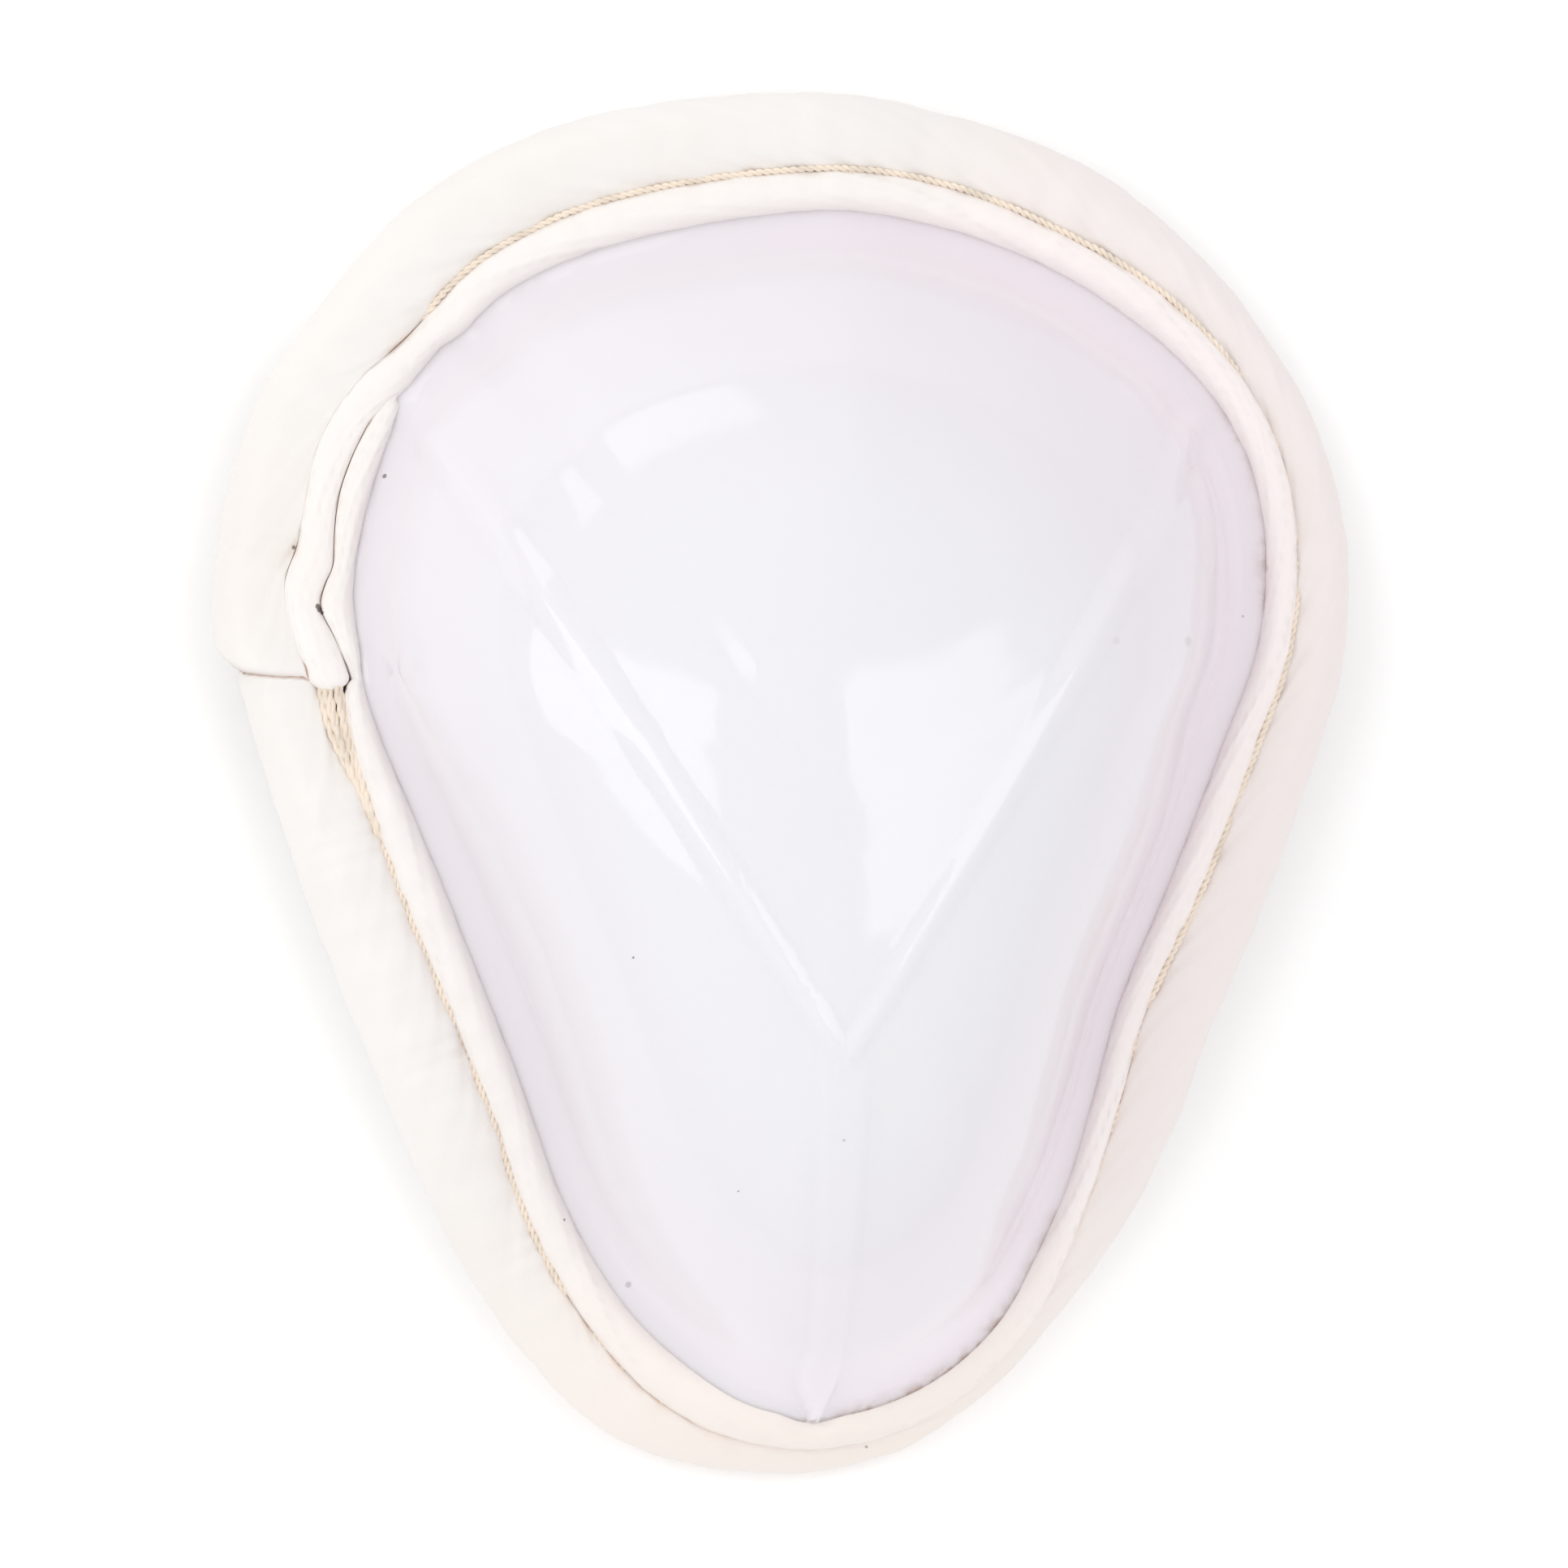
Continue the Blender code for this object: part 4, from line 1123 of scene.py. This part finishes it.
# Softboxes: turn to the right and rise toward the waist in degrees, width and height in
# metres, and radiance
SOFTBOXES = (
    ("left_softbox", -44, 6, 0.48, 0.72, 1.7),
    ("right_softbox", 29, 6, 0.42, 0.62, 1.6),
    ("upper_softbox", -60, 60, 0.46, 0.36, 1.15),
    ("lower_softbox", 10, -72, 0.60, 0.30, 1.3),
)
SOFTBOX_AWAY = 0.8
SOFTBOX_TARGET = (0.0, 0.0, 0.03)
FLOOR_HALF = 1.6


def softbox(name, turn, rise, width, height, radiance):
    """A rectangular light that faces the guard."""
    lamp = bpy.data.lights.new(name, "AREA")
    lamp.shape = "RECTANGLE"
    lamp.size = width
    lamp.size_y = height
    lamp.energy = radiance * width * height * pi
    thing = add_thing(name, lamp)
    thing.visible_glossy = rise > 0  # the one below the tip isn't reflected by the plastic
    turn, rise = radians(turn), radians(rise)
    toward = Vector((sin(turn) * cos(rise), sin(rise), cos(turn) * cos(rise)))
    thing.location = Vector(SOFTBOX_TARGET) + toward * SOFTBOX_AWAY
    thing.rotation_euler = (-toward).to_track_quat("-Z", "Y").to_euler()


class GUARD_OT_stage(bpy.types.Operator):
    """Set the studio floor, the camera and the lights."""

    bl_idname = "guard.stage"
    bl_label = "Stage"

    def execute(self, context):
        studio = context.scene.guard_studio
        corners = [(x * FLOOR_HALF, y * FLOOR_HALF, 0) for x, y in ((-1, -1), (1, -1), (1, 1), (-1, 1))]
        floor = add_mesh("studio_floor", corners, [(0, 1, 2, 3)])
        floor.data.materials.append(floor_finish())
        lens = bpy.data.cameras.new("studio_camera")
        lens.lens = studio.lens
        camera = add_thing("studio_camera", lens)
        away, tilt = studio.distance, studio.tilt
        camera.location = (-sin(tilt) * away, 0.0, cos(tilt) * away + studio.aim_height)
        camera.rotation_euler = (0.0, -tilt, 0.0)
        context.scene.camera = camera
        world = bpy.data.worlds.new("white_room")
        context.scene.world = world
        world.use_nodes = True
        backdrop = world.node_tree.nodes["Background"]
        backdrop.inputs["Color"].default_value = (1.0, 1.0, 1.0, 1.0)
        backdrop.inputs["Strength"].default_value = studio.sky
        for *where, radiance in SOFTBOXES:
            softbox(*where, radiance * studio.soft_power)
        context.scene.view_settings.view_transform = "Standard"
        return {"FINISHED"}


class GUARD_PT_panel(bpy.types.Panel):
    """Sizes, colours and pieces of the guard."""

    bl_idname = "GUARD_PT_panel"
    bl_label = "Abdominal guard"
    bl_space_type = "VIEW_3D"
    bl_region_type = "UI"
    bl_category = "Guard"

    def draw(self, context):
        for name in GROUPS:
            group = getattr(context.scene, name)
            box = self.layout.box()
            for size in group.__annotations__:
                box.prop(group, size)
        for operator in OPERATORS:
            self.layout.operator(operator.bl_idname)


GROUPS = {"guard_sizes": GuardSizes, "guard_colours": GuardColours, "guard_studio": GuardStudio}
OPERATORS = (GUARD_OT_cup, GUARD_OT_roll, GUARD_OT_lip, GUARD_OT_thread, GUARD_OT_stage)
CLASSES = (*GROUPS.values(), *OPERATORS, GUARD_PT_panel)


def register():
    for kind in CLASSES:
        bpy.utils.register_class(kind)
    for name, group in GROUPS.items():
        setattr(bpy.types.Scene, name, bpy.props.PointerProperty(type=group))


def unregister():
    for name in GROUPS:
        delattr(bpy.types.Scene, name)
    for kind in reversed(CLASSES):
        bpy.utils.unregister_class(kind)


def main():
    register()
    bpy.ops.guard.cup()
    bpy.ops.guard.roll()
    bpy.ops.guard.lip()
    bpy.ops.guard.thread()
    bpy.ops.guard.stage()


if __name__ == "__main__":
    main()
